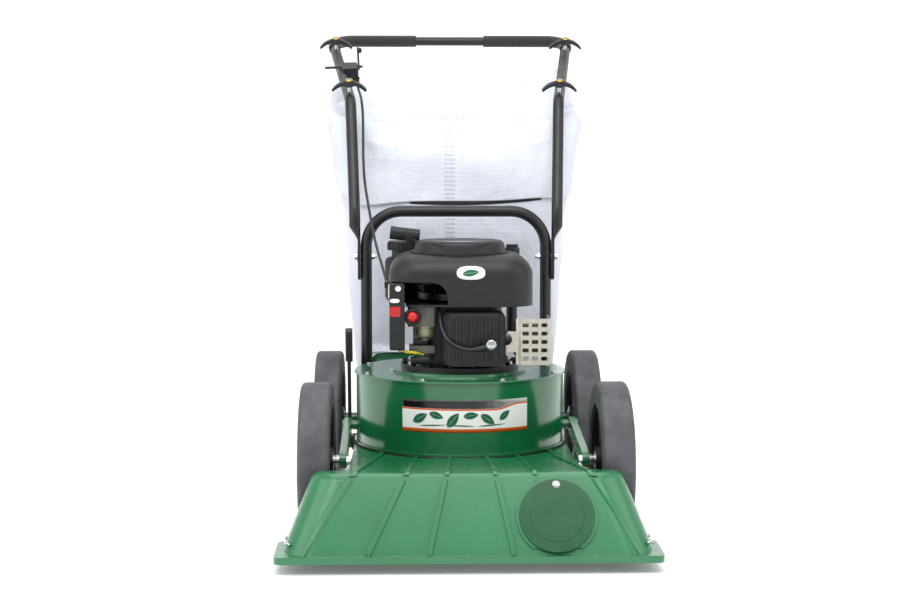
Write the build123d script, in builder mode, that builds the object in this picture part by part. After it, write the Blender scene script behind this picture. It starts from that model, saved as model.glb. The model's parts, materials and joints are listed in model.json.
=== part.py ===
"""Walk-behind leaf vacuum and mulcher: suction hood, fan drum, petrol engine, bag and folding handle.

Millimetres, +Z up, +X to the right of someone facing the hood, the hood pointing along -Y.
The origin is on the ground, under the middle of the machine's length and width.
"""

from math import atan2, cos, hypot, radians, sin, sqrt
import os

from build123d import *

# overall layout
hood_reach = 590.0  # lip ahead of the fan axis
rear_reach = 880.0  # handle grip behind the fan axis
fan_y = (hood_reach - rear_reach) / 2
running_clearance = 0.05  # radial, shafts that turn in holes
face_gap = 0.5  # between faces that slide past each other
sheet = 3.0  # pressed steel

# wheels
wheel_diameter = 305.0
wheel_width = 60.0
wheel_centre_x = 286.0
rim_radius = 108.0
hub_radius = 26.0
axle_radius = 6.3
front_axle_y = fan_y - 293.0
rear_axle_y = fan_y + 240.0
axle_z = wheel_diameter / 2

# fan drum
drum_radius = 218.5
drum_bottom = 145.0
drum_top = 291.0
drum_flange = 4.0
inlet_radius = 150.0
gasket = 3.0
plate_thickness = 4.0
pad_radius = 150.0
pad_height = 5.0
engine_base = drum_top + plate_thickness + pad_height

# hood
hood_wall = 3.5
hood_floor = 33.0
lip_drop = 13.0
lip_width = 14.0
lip_wall = 4.0
hood_half_bottom = 335.0
hood_half_top = 283.0
hood_corner = 56.0  # upright corners beside the front face
crease_radius = 22.0
waist_radius = 38.0  # inside corner between the wide front and the spine
break_reach = 507.0  # crease between the front face and the top
break_z = 168.0
foot_reach = 582.0  # foot of the front face
wedge_rear = 460.0
spine_half = 222.0
spine_rear = 165.0
rib_width = 8.0
rib_height = 4.0
groove_half = 265.0
groove_height = 12.0
groove_depth = 1.6

# hose port in the hood's front face
port_x = 158.0
port_down = 83.0  # from the crease, along the face
port_radius = 51.0
port_collar = 22.0
door_radius = 68.0
door_thickness = 3.0
door_pad = 4.0
door_screw_up = 58.0
screw_radius = 3.0

# discharge chute and bag
chute_left = -185.0
chute_right = -65.0
chute_bottom = 178.0
chute_top = 280.0
chute_end = 338.0
chute_collar = 8.0
bag_front = 350.0
bag_rear = 805.0
bag_floor = 165.0
bag_shoulder_z = 845.0
bag_top_z = 985.0
bag_half_top = 312.0
bag_half_bottom = 240.0
bag_cloth = 3.0

# front arms and their height lever
arm_pivot_y = fan_y - 30.0
arm_pivot_z = 180.0
arm_inner = 229.0
arm_thickness = 14.0
arm_height = 32.0
arm_journal = 8.0
arm_stub_radius = 9.5
lever_pivot_y = fan_y + 72.0
lever_pivot_z = 128.0
lever_length = 240.0

# handle
tube_radius = 12.7
tube_wall = 1.6
loop_leg_x = 204.0
loop_y = fan_y + 277.0
loop_top = 620.0
loop_corner = 80.0
fold_z = 517.0
tab_thickness = 6.0
tab_width = 30.0
elbow_x = 242.0
elbow_y = fan_y + 391.0
elbow_z = 872.0
grip_x = 305.0
grip_z = 1045.0
grip_radius = 11.0
grip_corner = 48.0
foam_radius = 14.75
grip_y = fan_y + rear_reach - foam_radius
bare_half = 88.0
stud_radius = 4.0
stud_length = 44.0
lower_stud = 34.0  # behind the elbow, along the tube
upper_stud = 392.0
knob_reach = 44.0  # room behind the upper stud for the turning wings of the knob

# engine
shaft_radius = 12.7
cover_half_x = 149.0
cover_half_y = 131.0
cover_bottom = 437.0
cover_shoulder = 541.0
cover_top = 568.0
cover_wall = 3.0
cover_cut_top = 487.0
box_left = -147.0
box_right = -116.0
box_bottom = 350.0
box_top = 485.0
notch_room = 2.0  # between the control box and the plate behind it
notch_width = 100.0
notch_depth = 104.0
notch_y = -90.0
cylinder_left = -38.0
cylinder_right = 90.0
plug_x = 58.0
plug_z = 365.0
primer_x = -100.0
primer_z = 417.0
primer_radius = 11.0
guard_bottom = 322.0
guard_top = 416.0
fuel_x = -123.0
oil_x = 120.0
filler_y = 160.0
cap_base = 538.0
cable_radius = 3.0
lead_radius = 3.5
impeller_radius = 200.0
impeller_bottom = 168.0
impeller_top = 262.0

# turned frames used everywhere below
ground = Plane((0, fan_y, 0))
side = Plane((0, fan_y, 0), x_dir=(0, 1, 0), z_dir=(1, 0, 0))
front = Plane((0, fan_y, 0), x_dir=(1, 0, 0), z_dir=(0, -1, 0))

pieces = {}


def keep(builder, name):
    """Label a finished piece and remember it under its node name."""
    builder.part.label = name
    pieces[name] = builder.part


def along_x(x, y, z, facing=1):
    """A plane at a point, its normal along X."""
    return Plane((x, y, z), x_dir=(0, 1, 0), z_dir=(facing, 0, 0))


# fan drum, its lid and the discharge chute


def make_drum():
    """Rolled wall on a flanged inlet ring, with the chute's doorway cut in its left rear."""
    with BuildPart() as drum:
        with BuildSketch(ground.offset(drum_bottom)):
            Circle(drum_radius + drum_flange)
            Circle(inlet_radius, mode=Mode.SUBTRACT)
        extrude(amount=drum_flange)
        with BuildSketch(ground.offset(drum_bottom)):
            Circle(drum_radius)
            Circle(drum_radius - sheet, mode=Mode.SUBTRACT)
        extrude(amount=drum_top - drum_bottom)
        with BuildSketch(ground.offset(drum_top - sheet)):
            Circle(drum_radius)
            Circle(drum_radius - 22, mode=Mode.SUBTRACT)
        extrude(amount=sheet)
        with BuildSketch(front.offset(-drum_radius / 3)):
            with Locations(((chute_left + chute_right) / 2, (chute_bottom + chute_top) / 2)):
                Rectangle(chute_right - chute_left - 2 * sheet, chute_top - chute_bottom - 2 * sheet)
        extrude(amount=-drum_radius, mode=Mode.SUBTRACT)
        with Locations(ground.offset(drum_top)):
            with PolarLocations(drum_radius - 10, 8, start_angle=22.5):
                Hole(screw_radius + running_clearance, depth=sheet)
    keep(drum, "fan_housing")


def make_lid():
    """Drum lid with a rolled rim and the raised pad that the engine stands on."""
    with BuildPart() as lid:
        with BuildSketch(ground.offset(drum_top)):
            Circle(drum_radius + drum_flange)
        extrude(amount=plate_thickness)
        fillet(lid.edges().group_by(Axis.Z)[-1], 1.5)
        with BuildSketch(ground.offset(drum_top + plate_thickness)):
            Circle(pad_radius)
        extrude(amount=pad_height, taper=20)
        with Locations(ground.offset(engine_base)):
            Hole(shaft_radius + 8)
            with Locations(*engine_bolt_spots()):
                Hole(4 + running_clearance)
            with PolarLocations(drum_radius - 10, 8, start_angle=22.5):
                Hole(screw_radius + running_clearance)
    keep(lid, "top_plate")


def make_chute():
    """Rectangular duct from the drum wall back to the bag collar."""
    wide = chute_right - chute_left
    tall = chute_top - chute_bottom
    with BuildPart() as chute:
        with BuildSketch(front.offset(-60)):
            with Locations(((chute_left + chute_right) / 2, (chute_bottom + chute_top) / 2)):
                RectangleRounded(wide, tall, 8)
        extrude(amount=-(chute_end - 60))
        with BuildSketch(front.offset(-(chute_end - 12))):
            with Locations(((chute_left + chute_right) / 2, (chute_bottom + chute_top) / 2)):
                RectangleRounded(wide + 2 * chute_collar, tall + 2 * chute_collar, 10)
        extrude(amount=-12)
        with BuildSketch(front.offset(-50)):
            with Locations(((chute_left + chute_right) / 2, (chute_bottom + chute_top) / 2)):
                RectangleRounded(wide - 2 * sheet, tall - 2 * sheet, 6)
        extrude(amount=-chute_end, mode=Mode.SUBTRACT)
        with BuildSketch(ground.offset(chute_bottom - 20)):
            Circle(drum_radius)
        extrude(amount=tall + 40, mode=Mode.SUBTRACT)
    keep(chute, "discharge_chute")


# hood


def hood_outline(height, half, reach, inset):
    """Plan of the hood's wide front at one height, its two front corners rounded."""
    with BuildSketch(ground.offset(height)) as plan:
        with BuildLine():
            rear = -wedge_rear + 80
            Polyline((-half, rear), (-half, -reach), (half, -reach), (half, rear), close=True)
        make_face()
        if inset != 0:
            offset(amount=-inset, kind=Kind.INTERSECTION)
        fillet(vertices().group_by(Axis.Y)[0], hood_corner - inset)
    return plan.sketch


def hood_mass(inset):
    """The hood's filled outer form, with every face moved inwards by inset."""
    base = hood_floor - 2 - max(2 * inset, 0)
    slope = (break_z - drum_bottom) / (break_reach - drum_radius)
    rise = break_z - hood_floor
    over = 8  # the loft ends this far above the crease
    over_half = hood_half_top - over * (hood_half_bottom - hood_half_top) / rise
    over_reach = break_reach - over * (foot_reach - break_reach) / rise
    with BuildPart() as wedge:
        foot = hood_outline(hood_floor, hood_half_bottom, foot_reach, inset)
        loft([foot, hood_outline(break_z + over, over_half, over_reach, inset)], ruled=True)
        extrude(foot, amount=base - hood_floor)
        with BuildSketch(side):
            with BuildLine():
                Polyline(
                    (-foot_reach - 30, base),
                    (-foot_reach - 30, break_z + slope * (foot_reach + 30 - break_reach)),
                    (-wedge_rear, break_z - slope * (break_reach - wedge_rear)),
                    (-wedge_rear, base),
                    close=True,
                )
            make_face()
            if inset != 0:
                offset(amount=-inset, kind=Kind.INTERSECTION)
        extrude(amount=400, both=True, mode=Mode.INTERSECT)
        top = wedge.faces().sort_by(Axis.Z)[-1]
        rim = top.edges().filter_by(lambda e: e.center().Y < fan_y - wedge_rear - 4)
        fillet(rim, crease_radius - inset)
    with BuildPart() as spine:
        with BuildSketch(side):
            with BuildLine():
                Polyline(
                    (-break_reach + 15, base),
                    (-break_reach + 15, break_z - 15 * slope),
                    (-drum_radius - drum_flange - 8, drum_bottom),
                    (-drum_radius - drum_flange, drum_bottom - gasket),
                    (spine_rear - 20, drum_bottom - gasket),
                    (spine_rear, drum_bottom - gasket - 20),
                    (spine_rear, base),
                    close=True,
                )
            make_face()
            if inset != 0:
                offset(amount=-inset, kind=Kind.INTERSECTION)
        extrude(amount=400, both=True)
        with BuildSketch(ground):
            with BuildLine():
                Polyline(
                    (-spine_half, spine_rear + 10),
                    (-spine_half, -wedge_rear),
                    (-spine_half - waist_radius - 8, -wedge_rear),
                    (-spine_half - waist_radius - 8, -break_reach),
                    (spine_half + waist_radius + 8, -break_reach),
                    (spine_half + waist_radius + 8, -wedge_rear),
                    (spine_half, -wedge_rear),
                    (spine_half, spine_rear + 10),
                    close=True,
                )
            make_face()
            if inset != 0:
                offset(amount=-inset, kind=Kind.INTERSECTION)
            corners = vertices().filter_by(lambda v: abs(v.Y + wedge_rear + inset) < 1)
            fillet(corners.sort_by(Axis.X)[1:3], waist_radius + inset)
        extrude(amount=break_z + 20, mode=Mode.INTERSECT)
    with BuildPart() as mass:
        add(wedge.part)
        add(spine.part)
    return mass.part


def face_plane():
    """Plane on the hood's front face: centred on the crease, its Y axis up the face."""
    rise = break_z - hood_floor
    run = foot_reach - break_reach
    length = hypot(rise, run)
    normal = (0, -rise / length, run / length)
    return Plane((0, fan_y - break_reach, break_z), x_dir=(1, 0, 0), z_dir=normal)


def rib_slab(x_rim, x_break, x_foot):
    """Upright slab over the line that one rib follows from the drum to the foot of the hood."""
    y_rim = -sqrt((drum_radius + 8) ** 2 - x_rim**2)
    with BuildPart() as slab:
        with BuildSketch(ground.offset(hood_floor)):
            with BuildLine():
                Polyline((x_rim, y_rim), (x_break, -break_reach), (x_foot, -foot_reach - 2))
            trace(line_width=rib_width)
        extrude(amount=break_z + 20)
    return slab.part


def flange_planes():
    """Planes of the small bolts low on the hood's sloping sides."""
    lean = hood_half_bottom - hood_half_top
    rise = break_z + 6 - hood_floor
    height = 16
    half = hood_half_bottom - height * lean / rise
    tilt = atan2(lean, rise)
    return [
        Plane((sign * half, fan_y - reach, hood_floor + height), z_dir=(sign * cos(tilt), 0, sin(tilt)))
        for sign in (-1, 1)
        for reach in (548, 500)
    ]


def make_hood():
    """Pressed hood: open below, fanned ribs, crease groove, rolled lip and hose port."""
    rib_lines = ((-162, -206, -302), (-93, -111, -182), (-26, -38, -72), (46, 49, 79), (178, 222, 314))
    outer = hood_mass(0)
    inner = hood_mass(hood_wall)
    raised = hood_mass(-rib_height)
    with BuildPart() as ribs:
        for line in rib_lines:
            add(rib_slab(*line))
        with BuildSketch(ground.offset(hood_floor)):
            with BuildLine():
                Polyline((109, -sqrt((drum_radius + 8) ** 2 - 109**2)), (121, -break_reach), (124, -break_reach - 8))
            trace(line_width=rib_width)
        extrude(amount=break_z + 20)
        add(raised, mode=Mode.INTERSECT)
    port_plane = face_plane()
    with BuildPart() as hood:
        add(outer)
        add(ribs.part)
        with BuildSketch(port_plane.offset(rib_height + 1)):
            with BuildLine():
                Polyline(
                    (-groove_half, -10),
                    (-groove_half * 0.72, -10 + groove_height / 2),
                    (groove_half * 0.72, -10 + groove_height / 2),
                    (groove_half, -10),
                    (groove_half * 0.72, -10 - groove_height / 2),
                    (-groove_half * 0.72, -10 - groove_height / 2),
                    close=True,
                )
            make_face()
        extrude(amount=-(rib_height + 1 + groove_depth), mode=Mode.SUBTRACT)
        with BuildSketch(port_plane):
            with Locations((port_x, -port_down)):
                Circle(door_radius + 6)
                with Locations((0, 10)):
                    Rectangle(2 * door_radius + 20, 2 * door_radius + 2, mode=Mode.INTERSECT)
        extrude(amount=door_pad)
        add(inner, mode=Mode.SUBTRACT)
        with BuildSketch(port_plane):
            with Locations((port_x, -port_down)):
                Circle(port_radius + 3)
        extrude(amount=-port_collar)
        with BuildSketch(port_plane.offset(door_pad + 1)):
            with Locations((port_x, -port_down)):
                Circle(port_radius)
        extrude(amount=-(door_pad + 2 + port_collar), mode=Mode.SUBTRACT)
        with BuildSketch(port_plane.offset(door_pad)):
            with Locations((port_x, -port_down + door_screw_up)):
                Circle(screw_radius + running_clearance)
        extrude(amount=-20, mode=Mode.SUBTRACT)
        with BuildSketch(ground.offset(hood_floor - lip_drop)):
            with Locations((0, -(foot_reach + 8 + wedge_rear) / 2)):
                RectangleRounded(2 * (hood_half_bottom + lip_width), foot_reach + 8 - wedge_rear, 14)
        extrude(amount=lip_drop)
        with BuildSketch(ground.offset(hood_floor - lip_drop - 1)):
            with Locations((0, -(foot_reach + 8 + wedge_rear) / 2)):
                RectangleRounded(
                    2 * (hood_half_bottom + lip_width - lip_wall), foot_reach + 8 - wedge_rear - 2 * lip_wall, 10
                )
        extrude(amount=lip_drop + 1 - lip_wall, mode=Mode.SUBTRACT)
        with BuildSketch(ground.offset(hood_floor - lip_wall - 1)):
            with Locations((0, -(foot_reach + wedge_rear) / 2)):
                RectangleRounded(
                    2 * (hood_half_bottom - hood_wall), foot_reach - wedge_rear - 2 * hood_wall, hood_corner - hood_wall
                )
            with Locations((0, (spine_rear - wedge_rear - 20) / 2)):
                Rectangle(2 * (spine_half - hood_wall), spine_rear + wedge_rear + 20 - 2 * hood_wall)
        extrude(amount=lip_wall + 2, mode=Mode.SUBTRACT)
        with Locations(ground.offset(drum_bottom)):
            Hole(inlet_radius, depth=40)
        for spot in flange_planes():
            with BuildSketch(spot.offset(-20)):
                Circle(2.5 + running_clearance)
            extrude(amount=21, mode=Mode.SUBTRACT)
    keep(hood, "nozzle")


def make_door():
    """Round cover over the hose port, hung on one screw at its top."""
    plane = face_plane().offset(door_pad + face_gap)
    with BuildPart() as door:
        with BuildSketch(plane):
            with Locations((port_x, -port_down)):
                Circle(door_radius)
        extrude(amount=door_thickness)
        with BuildSketch(plane.offset(door_thickness)):
            with Locations((port_x, -port_down)):
                Circle(door_screw_up - 9)
        extrude(amount=1.2, taper=30)
        with BuildSketch(plane):
            with Locations((port_x, -port_down + door_screw_up)):
                Circle(screw_radius + running_clearance)
        extrude(amount=door_thickness + 4, mode=Mode.SUBTRACT)
    keep(door, "hose_door")


def screw(plane, radius, length, head_radius, head_height):
    """A hex-headed screw whose head stands on the plane and whose shank goes down from it."""
    with BuildPart() as fastener:
        with BuildSketch(plane):
            Circle(radius)
        extrude(amount=-length)
        with BuildSketch(plane):
            Circle(head_radius * 1.25)
        extrude(amount=1)
        with BuildSketch(plane.offset(1)):
            RegularPolygon(head_radius, 6)
        extrude(amount=head_height)
        chamfer(fastener.faces().sort_by(lambda f: plane.to_local_coords(f.center()).Z)[-1].edges(), 0.6)
    return fastener.part


def make_deck_screws():
    """Door screw, lid screws and the small bolts on the hood's side flanges."""
    door_plane = face_plane().offset(door_pad + 2 * face_gap + door_thickness)
    with BuildPart() as screws:
        hinge = Plane(
            door_plane.from_local_coords((port_x, -port_down + door_screw_up, 0)), z_dir=door_plane.z_dir
        )
        add(screw(hinge, screw_radius, 18, 5.5, 3.5))
        for i in range(8):
            angle = radians(22.5 + 45 * i)
            spot = ((drum_radius - 10) * cos(angle), fan_y + (drum_radius - 10) * sin(angle), 0)
            add(screw(Plane(spot).offset(drum_top + plate_thickness), screw_radius, 10, 5, 3))
        for spot in flange_planes():
            add(screw(spot, 2.5, hood_wall + 4, 4.5, 3))
    keep(screws, "deck_screws")


# wheels and axles


def make_wheel(side_sign, axle_y, place):
    """Solid rubber tyre on a dished hub with a long boss."""
    inner = side_sign * (wheel_centre_x - wheel_width / 2)
    plane = along_x(inner, axle_y, axle_z, side_sign)
    radius = wheel_diameter / 2
    with BuildPart() as tyre:
        with BuildSketch(plane):
            Circle(radius)
            Circle(rim_radius, mode=Mode.SUBTRACT)
        extrude(amount=wheel_width)
        outer_edges = tyre.edges().filter_by(GeomType.CIRCLE).filter_by(lambda e: e.radius > radius - 1)
        fillet(outer_edges, 9)
    keep(tyre, f"tyre_{place}")
    with BuildPart() as hub:
        with BuildSketch(plane.offset(4)):
            Circle(rim_radius)
            Circle(rim_radius - 7, mode=Mode.SUBTRACT)
        extrude(amount=wheel_width - 8)
        with BuildSketch(plane.offset(wheel_width / 2 - 4)):
            Circle(rim_radius - 3)
        extrude(amount=6)
        with BuildSketch(plane):
            Circle(hub_radius)
        extrude(amount=wheel_width)
        with BuildSketch(plane.offset(10)):
            Circle(hub_radius + 3)
            with PolarLocations((rim_radius + hub_radius) / 2 - 2, 6):
                Rectangle(rim_radius - hub_radius - 6, 5)
        extrude(amount=wheel_width - 20)
        with BuildSketch(plane.offset(-1)):
            Circle(axle_radius + running_clearance)
        extrude(amount=wheel_width + 2, mode=Mode.SUBTRACT)
    keep(hub, f"hub_{place}")


def make_rear_axle():
    """Tube between the brackets, turned down to carry a wheel and a hub cap nut at each end."""
    shoulder = wheel_centre_x - wheel_width / 2 - face_gap
    end = wheel_centre_x + wheel_width / 2 + face_gap
    with BuildPart() as axle:
        with BuildSketch(along_x(-shoulder, rear_axle_y, axle_z)):
            Circle(tube_radius)
        extrude(amount=2 * shoulder)
        with BuildSketch(along_x(-end, rear_axle_y, axle_z)):
            Circle(axle_radius)
        extrude(amount=2 * end)
        for sign in (-1, 1):
            with BuildSketch(along_x(sign * end, rear_axle_y, axle_z, sign)):
                Circle(14)
            extrude(amount=2)
            with BuildSketch(along_x(sign * (end + 2), rear_axle_y, axle_z, sign)):
                RegularPolygon(10.5, 6)
            extrude(amount=7)
    keep(axle, "rear_axle")


def make_brackets():
    """Plates that tie the rear axle and the legs of the lower loop to the drum."""
    inner = loop_leg_x - tube_radius - 6
    with BuildPart() as brackets:
        for sign in (-1, 1):
            with BuildSketch(along_x(sign * inner, fan_y, 0)):
                with BuildLine():
                    Polyline((95, 215), (95, 270), (292, 270), (292, 150), (262, 118), (220, 118), close=True)
                make_face()
                fillet(vertices(), 8)
                with Locations((rear_axle_y - fan_y, axle_z)):
                    Circle(tube_radius + running_clearance, mode=Mode.SUBTRACT)
            extrude(amount=sign * 5)
        with BuildSketch(ground):
            Circle(drum_radius + drum_flange)
        extrude(amount=drum_top + 50, mode=Mode.SUBTRACT)
    keep(brackets, "axle_brackets")


def make_loop():
    """Bent tube that stands behind the drum and carries the handle."""
    with BuildPart() as loop:
        with BuildLine() as path:
            FilletPolyline(
                (-loop_leg_x, loop_y, 128),
                (-loop_leg_x, loop_y, loop_top),
                (loop_leg_x, loop_y, loop_top),
                (loop_leg_x, loop_y, 128),
                radius=loop_corner,
            )
        with BuildSketch(Plane(path.line @ 0, z_dir=path.line % 0)):
            Circle(tube_radius)
            Circle(tube_radius - tube_wall, mode=Mode.SUBTRACT)
        sweep()
        with BuildSketch(along_x(-loop_leg_x - 30, loop_y, fold_z)):
            Circle(4 + running_clearance)
        extrude(amount=2 * loop_leg_x + 60, mode=Mode.SUBTRACT)
    keep(loop, "lower_loop")


def make_pivot_bolts():
    """Shoulder bolts at the foot of the handle, with a nut inside each leg."""
    outer = loop_leg_x + tube_radius + face_gap + tab_thickness + face_gap
    inner = loop_leg_x - tube_radius
    with BuildPart() as bolts:
        for sign in (-1, 1):
            with BuildSketch(along_x(sign * (inner - 12), loop_y, fold_z, sign)):
                Circle(4)
            extrude(amount=outer - inner + 12)
            with BuildSketch(along_x(sign * outer, loop_y, fold_z, sign)):
                Circle(11)
            extrude(amount=1.6)
            with BuildSketch(along_x(sign * (outer + 1.6), loop_y, fold_z, sign)):
                RegularPolygon(7.4, 6)
            extrude(amount=5.3)
            with BuildSketch(along_x(sign * inner, loop_y, fold_z, -sign)):
                RegularPolygon(7.4, 6)
            extrude(amount=6.5)
    keep(bolts, "pivot_bolts")


def make_arm_pivots():
    """Stub shafts on the drum's sides, each with a journal and a retaining head for a front arm."""
    with BuildPart() as stubs:
        for sign in (-1, 1):
            start = along_x(sign * (drum_radius - 20), arm_pivot_y, arm_pivot_z, sign)
            with BuildSketch(start):
                Circle(arm_stub_radius)
            extrude(amount=arm_inner - face_gap - drum_radius + 20)
            with BuildSketch(start):
                Circle(arm_journal)
            extrude(amount=arm_inner + arm_thickness + face_gap - drum_radius + 20)
            with BuildSketch(along_x(sign * (arm_inner + arm_thickness + face_gap), arm_pivot_y, arm_pivot_z, sign)):
                Circle(12)
            extrude(amount=4)
        with BuildSketch(ground.offset(drum_bottom)):
            Circle(drum_radius)
        extrude(amount=drum_top - drum_bottom, mode=Mode.SUBTRACT)
    keep(stubs, "arm_pivots")


def arm_profile(sign, tail):
    """Side view of a front arm: rounded bar from the axle to the pivot, with an optional tail."""
    with BuildPart() as arm:
        with BuildSketch(along_x(sign * arm_inner, 0, 0, 1)):
            with BuildLine():
                Line((front_axle_y, axle_z), (arm_pivot_y, arm_pivot_z))
            trace(line_width=arm_height)
            with Locations((front_axle_y, axle_z), (arm_pivot_y, arm_pivot_z)):
                Circle(arm_height / 2)
            if tail:
                with BuildLine():
                    Line((arm_pivot_y, arm_pivot_z), (arm_pivot_y + 60, arm_pivot_z - 6))
                trace(line_width=16)
            with Locations((arm_pivot_y, arm_pivot_z)):
                Circle(arm_journal + running_clearance, mode=Mode.SUBTRACT)
            with Locations((front_axle_y, axle_z)):
                Circle(axle_radius + running_clearance, mode=Mode.SUBTRACT)
        extrude(amount=sign * arm_thickness)
    return arm


def make_front_arm(sign, place):
    """Front arm and the bolt that its wheel turns on."""
    keep(arm_profile(sign, sign < 0), f"front_arm_{place}")
    outside = wheel_centre_x + wheel_width / 2 + face_gap
    near = arm_inner + arm_thickness
    with BuildPart() as bolt:
        with BuildSketch(along_x(sign * (arm_inner - 6), front_axle_y, axle_z, sign)):
            Circle(axle_radius)
        extrude(amount=outside - arm_inner + 6)
        with BuildSketch(along_x(sign * arm_inner, front_axle_y, axle_z, -sign)):
            RegularPolygon(10.5, 6)
        extrude(amount=6)
        with BuildSketch(along_x(sign * near, front_axle_y, axle_z, sign)):
            Circle(11)
        extrude(amount=wheel_centre_x - wheel_width / 2 - face_gap - near)
        with BuildSketch(along_x(sign * outside, front_axle_y, axle_z, sign)):
            Circle(14)
        extrude(amount=2)
        with BuildSketch(along_x(sign * (outside + 2), front_axle_y, axle_z, sign)):
            RegularPolygon(10.5, 6)
        extrude(amount=7)
    keep(bolt, f"front_axle_{place}")


def make_height_lever():
    """Tapered lever with a cam foot under the left arm's tail, on a block at the hood's side."""
    block_x = -spine_half
    with BuildPart() as block:
        with BuildSketch(along_x(block_x, lever_pivot_y, lever_pivot_z, -1)):
            RectangleRounded(44, 30, 5)
        extrude(amount=9)
        with BuildSketch(along_x(block_x - 9, lever_pivot_y, lever_pivot_z, -1)):
            Circle(5)
        extrude(amount=8.5)
        with BuildSketch(along_x(block_x - 17.5, lever_pivot_y, lever_pivot_z, -1)):
            RegularPolygon(7.4, 6)
        extrude(amount=4)
    keep(block, "lever_block")
    with BuildPart() as lever:
        with BuildSketch(along_x(block_x - 17, lever_pivot_y, lever_pivot_z)):
            with BuildLine():
                Polyline((-13, 0), (-50, lever_length), (-34, lever_length), (13, 0), close=True)
            make_face()
            Circle(14)
            with Locations((-42, lever_length)):
                Circle(8)
            Circle(5 + running_clearance, mode=Mode.SUBTRACT)
        extrude(amount=7)
        with BuildSketch(along_x(block_x - 21, lever_pivot_y, lever_pivot_z)):
            with Locations((-37, lever_length - 26)):
                SlotOverall(74, 20, rotation=99)
        extrude(amount=15)
        fillet(lever.faces().sort_by(Axis.X)[0].edges(), 3)
    keep(lever, "height_lever")


# handle


def tube_station(sign, distance):
    """Point and frame on the handle's upper run, at a distance behind the elbow."""
    run = Vector(grip_x - elbow_x, grip_y - elbow_y, grip_z - elbow_z).normalized()
    point = Vector(elbow_x, elbow_y, elbow_z) + run * distance
    along = Vector(sign * run.X, run.Y, run.Z)
    up = Vector(0, -run.Z, run.Y).normalized()
    return Plane((sign * point.X, point.Y, point.Z), x_dir=along, z_dir=up)


def make_side_tube(sign, place):
    """Handle tube: flattened foot on the pivot bolt, leaning run, elbow and open upper end."""
    tab_x = loop_leg_x + tube_radius + face_gap
    foot_x = tab_x + tube_radius
    top = tube_station(sign, upper_stud + 22)
    with BuildPart() as tube:
        with BuildLine() as path:
            FilletPolyline(
                (sign * foot_x, loop_y, fold_z + 68),
                (sign * foot_x, loop_y, fold_z + 98),
                (sign * elbow_x, elbow_y, elbow_z),
                top.origin,
                radius=[80, 55],
            )
        with BuildSketch(Plane(path.line @ 0, z_dir=path.line % 0)):
            Circle(tube_radius)
            Circle(grip_radius + 0.1, mode=Mode.SUBTRACT)
        sweep()
        with BuildSketch(Plane((sign * (tab_x + tab_thickness / 2), loop_y, fold_z + 38))):
            RectangleRounded(tab_thickness, tab_width, 1.5)
        with BuildSketch(Plane((sign * foot_x, loop_y, fold_z + 68))):
            Circle(tube_radius)
        loft()
        with BuildSketch(along_x(sign * tab_x, loop_y, fold_z)):
            Rectangle(tab_width, 76)
            with Locations((0, -38)):
                Circle(tab_width / 2)
        extrude(amount=sign * tab_thickness)
        with BuildSketch(along_x(sign * (tab_x - 1), loop_y, fold_z)):
            Circle(4 + running_clearance)
        extrude(amount=sign * (tab_thickness + 2), mode=Mode.SUBTRACT)
        for distance in (lower_stud, upper_stud):
            with BuildSketch(tube_station(sign, distance).offset(-tube_radius - 5)):
                Circle(stud_radius + running_clearance)
            extrude(amount=2 * tube_radius + 10, mode=Mode.SUBTRACT)
    keep(tube, f"side_tube_{place}")


def make_grip_bar():
    """Upper bar: both legs slide into the side tubes, with a straight grip across the back."""
    legs = [tube_station(sign, upper_stud - 40).origin for sign in (-1, 1)]
    corners = [(sign * grip_x, grip_y, grip_z) for sign in (-1, 1)]
    with BuildPart() as bar:
        with BuildLine() as path:
            FilletPolyline(legs[0], corners[0], corners[1], legs[1], radius=grip_corner)
        with BuildSketch(Plane(path.line @ 0, z_dir=path.line % 0)):
            Circle(grip_radius)
            Circle(grip_radius - tube_wall, mode=Mode.SUBTRACT)
        sweep()
        for sign in (-1, 1):
            with BuildSketch(tube_station(sign, upper_stud).offset(-tube_radius - 5)):
                Circle(stud_radius + running_clearance)
            extrude(amount=2 * tube_radius + 10, mode=Mode.SUBTRACT)
    keep(bar, "grip_bar")


def make_foam_grip(sign, place):
    """Foam sleeve over one half of the grip bar and round its bend."""
    end = tube_station(sign, upper_stud + knob_reach).origin
    with BuildPart() as foam:
        with BuildLine() as path:
            FilletPolyline(
                (sign * bare_half, grip_y, grip_z), (sign * grip_x, grip_y, grip_z), end, radius=grip_corner
            )
        with BuildSketch(Plane(path.line @ 0, z_dir=path.line % 0)):
            Circle(foam_radius)
            Circle(grip_radius, mode=Mode.SUBTRACT)
        sweep()
    keep(foam, f"foam_grip_{place}")


def make_studs():
    """Headed studs through the handle tubes that the knobs screw onto."""
    with BuildPart() as studs:
        for sign in (-1, 1):
            for distance in (lower_stud, upper_stud):
                plane = tube_station(sign, distance)
                with BuildSketch(plane.offset(-tube_radius - 5)):
                    Circle(stud_radius)
                extrude(amount=tube_radius + 5 + stud_length)
                with BuildSketch(plane.offset(-tube_radius - 5)):
                    RegularPolygon(7.4, 6)
                extrude(amount=5)
    keep(studs, "knob_studs")


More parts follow.
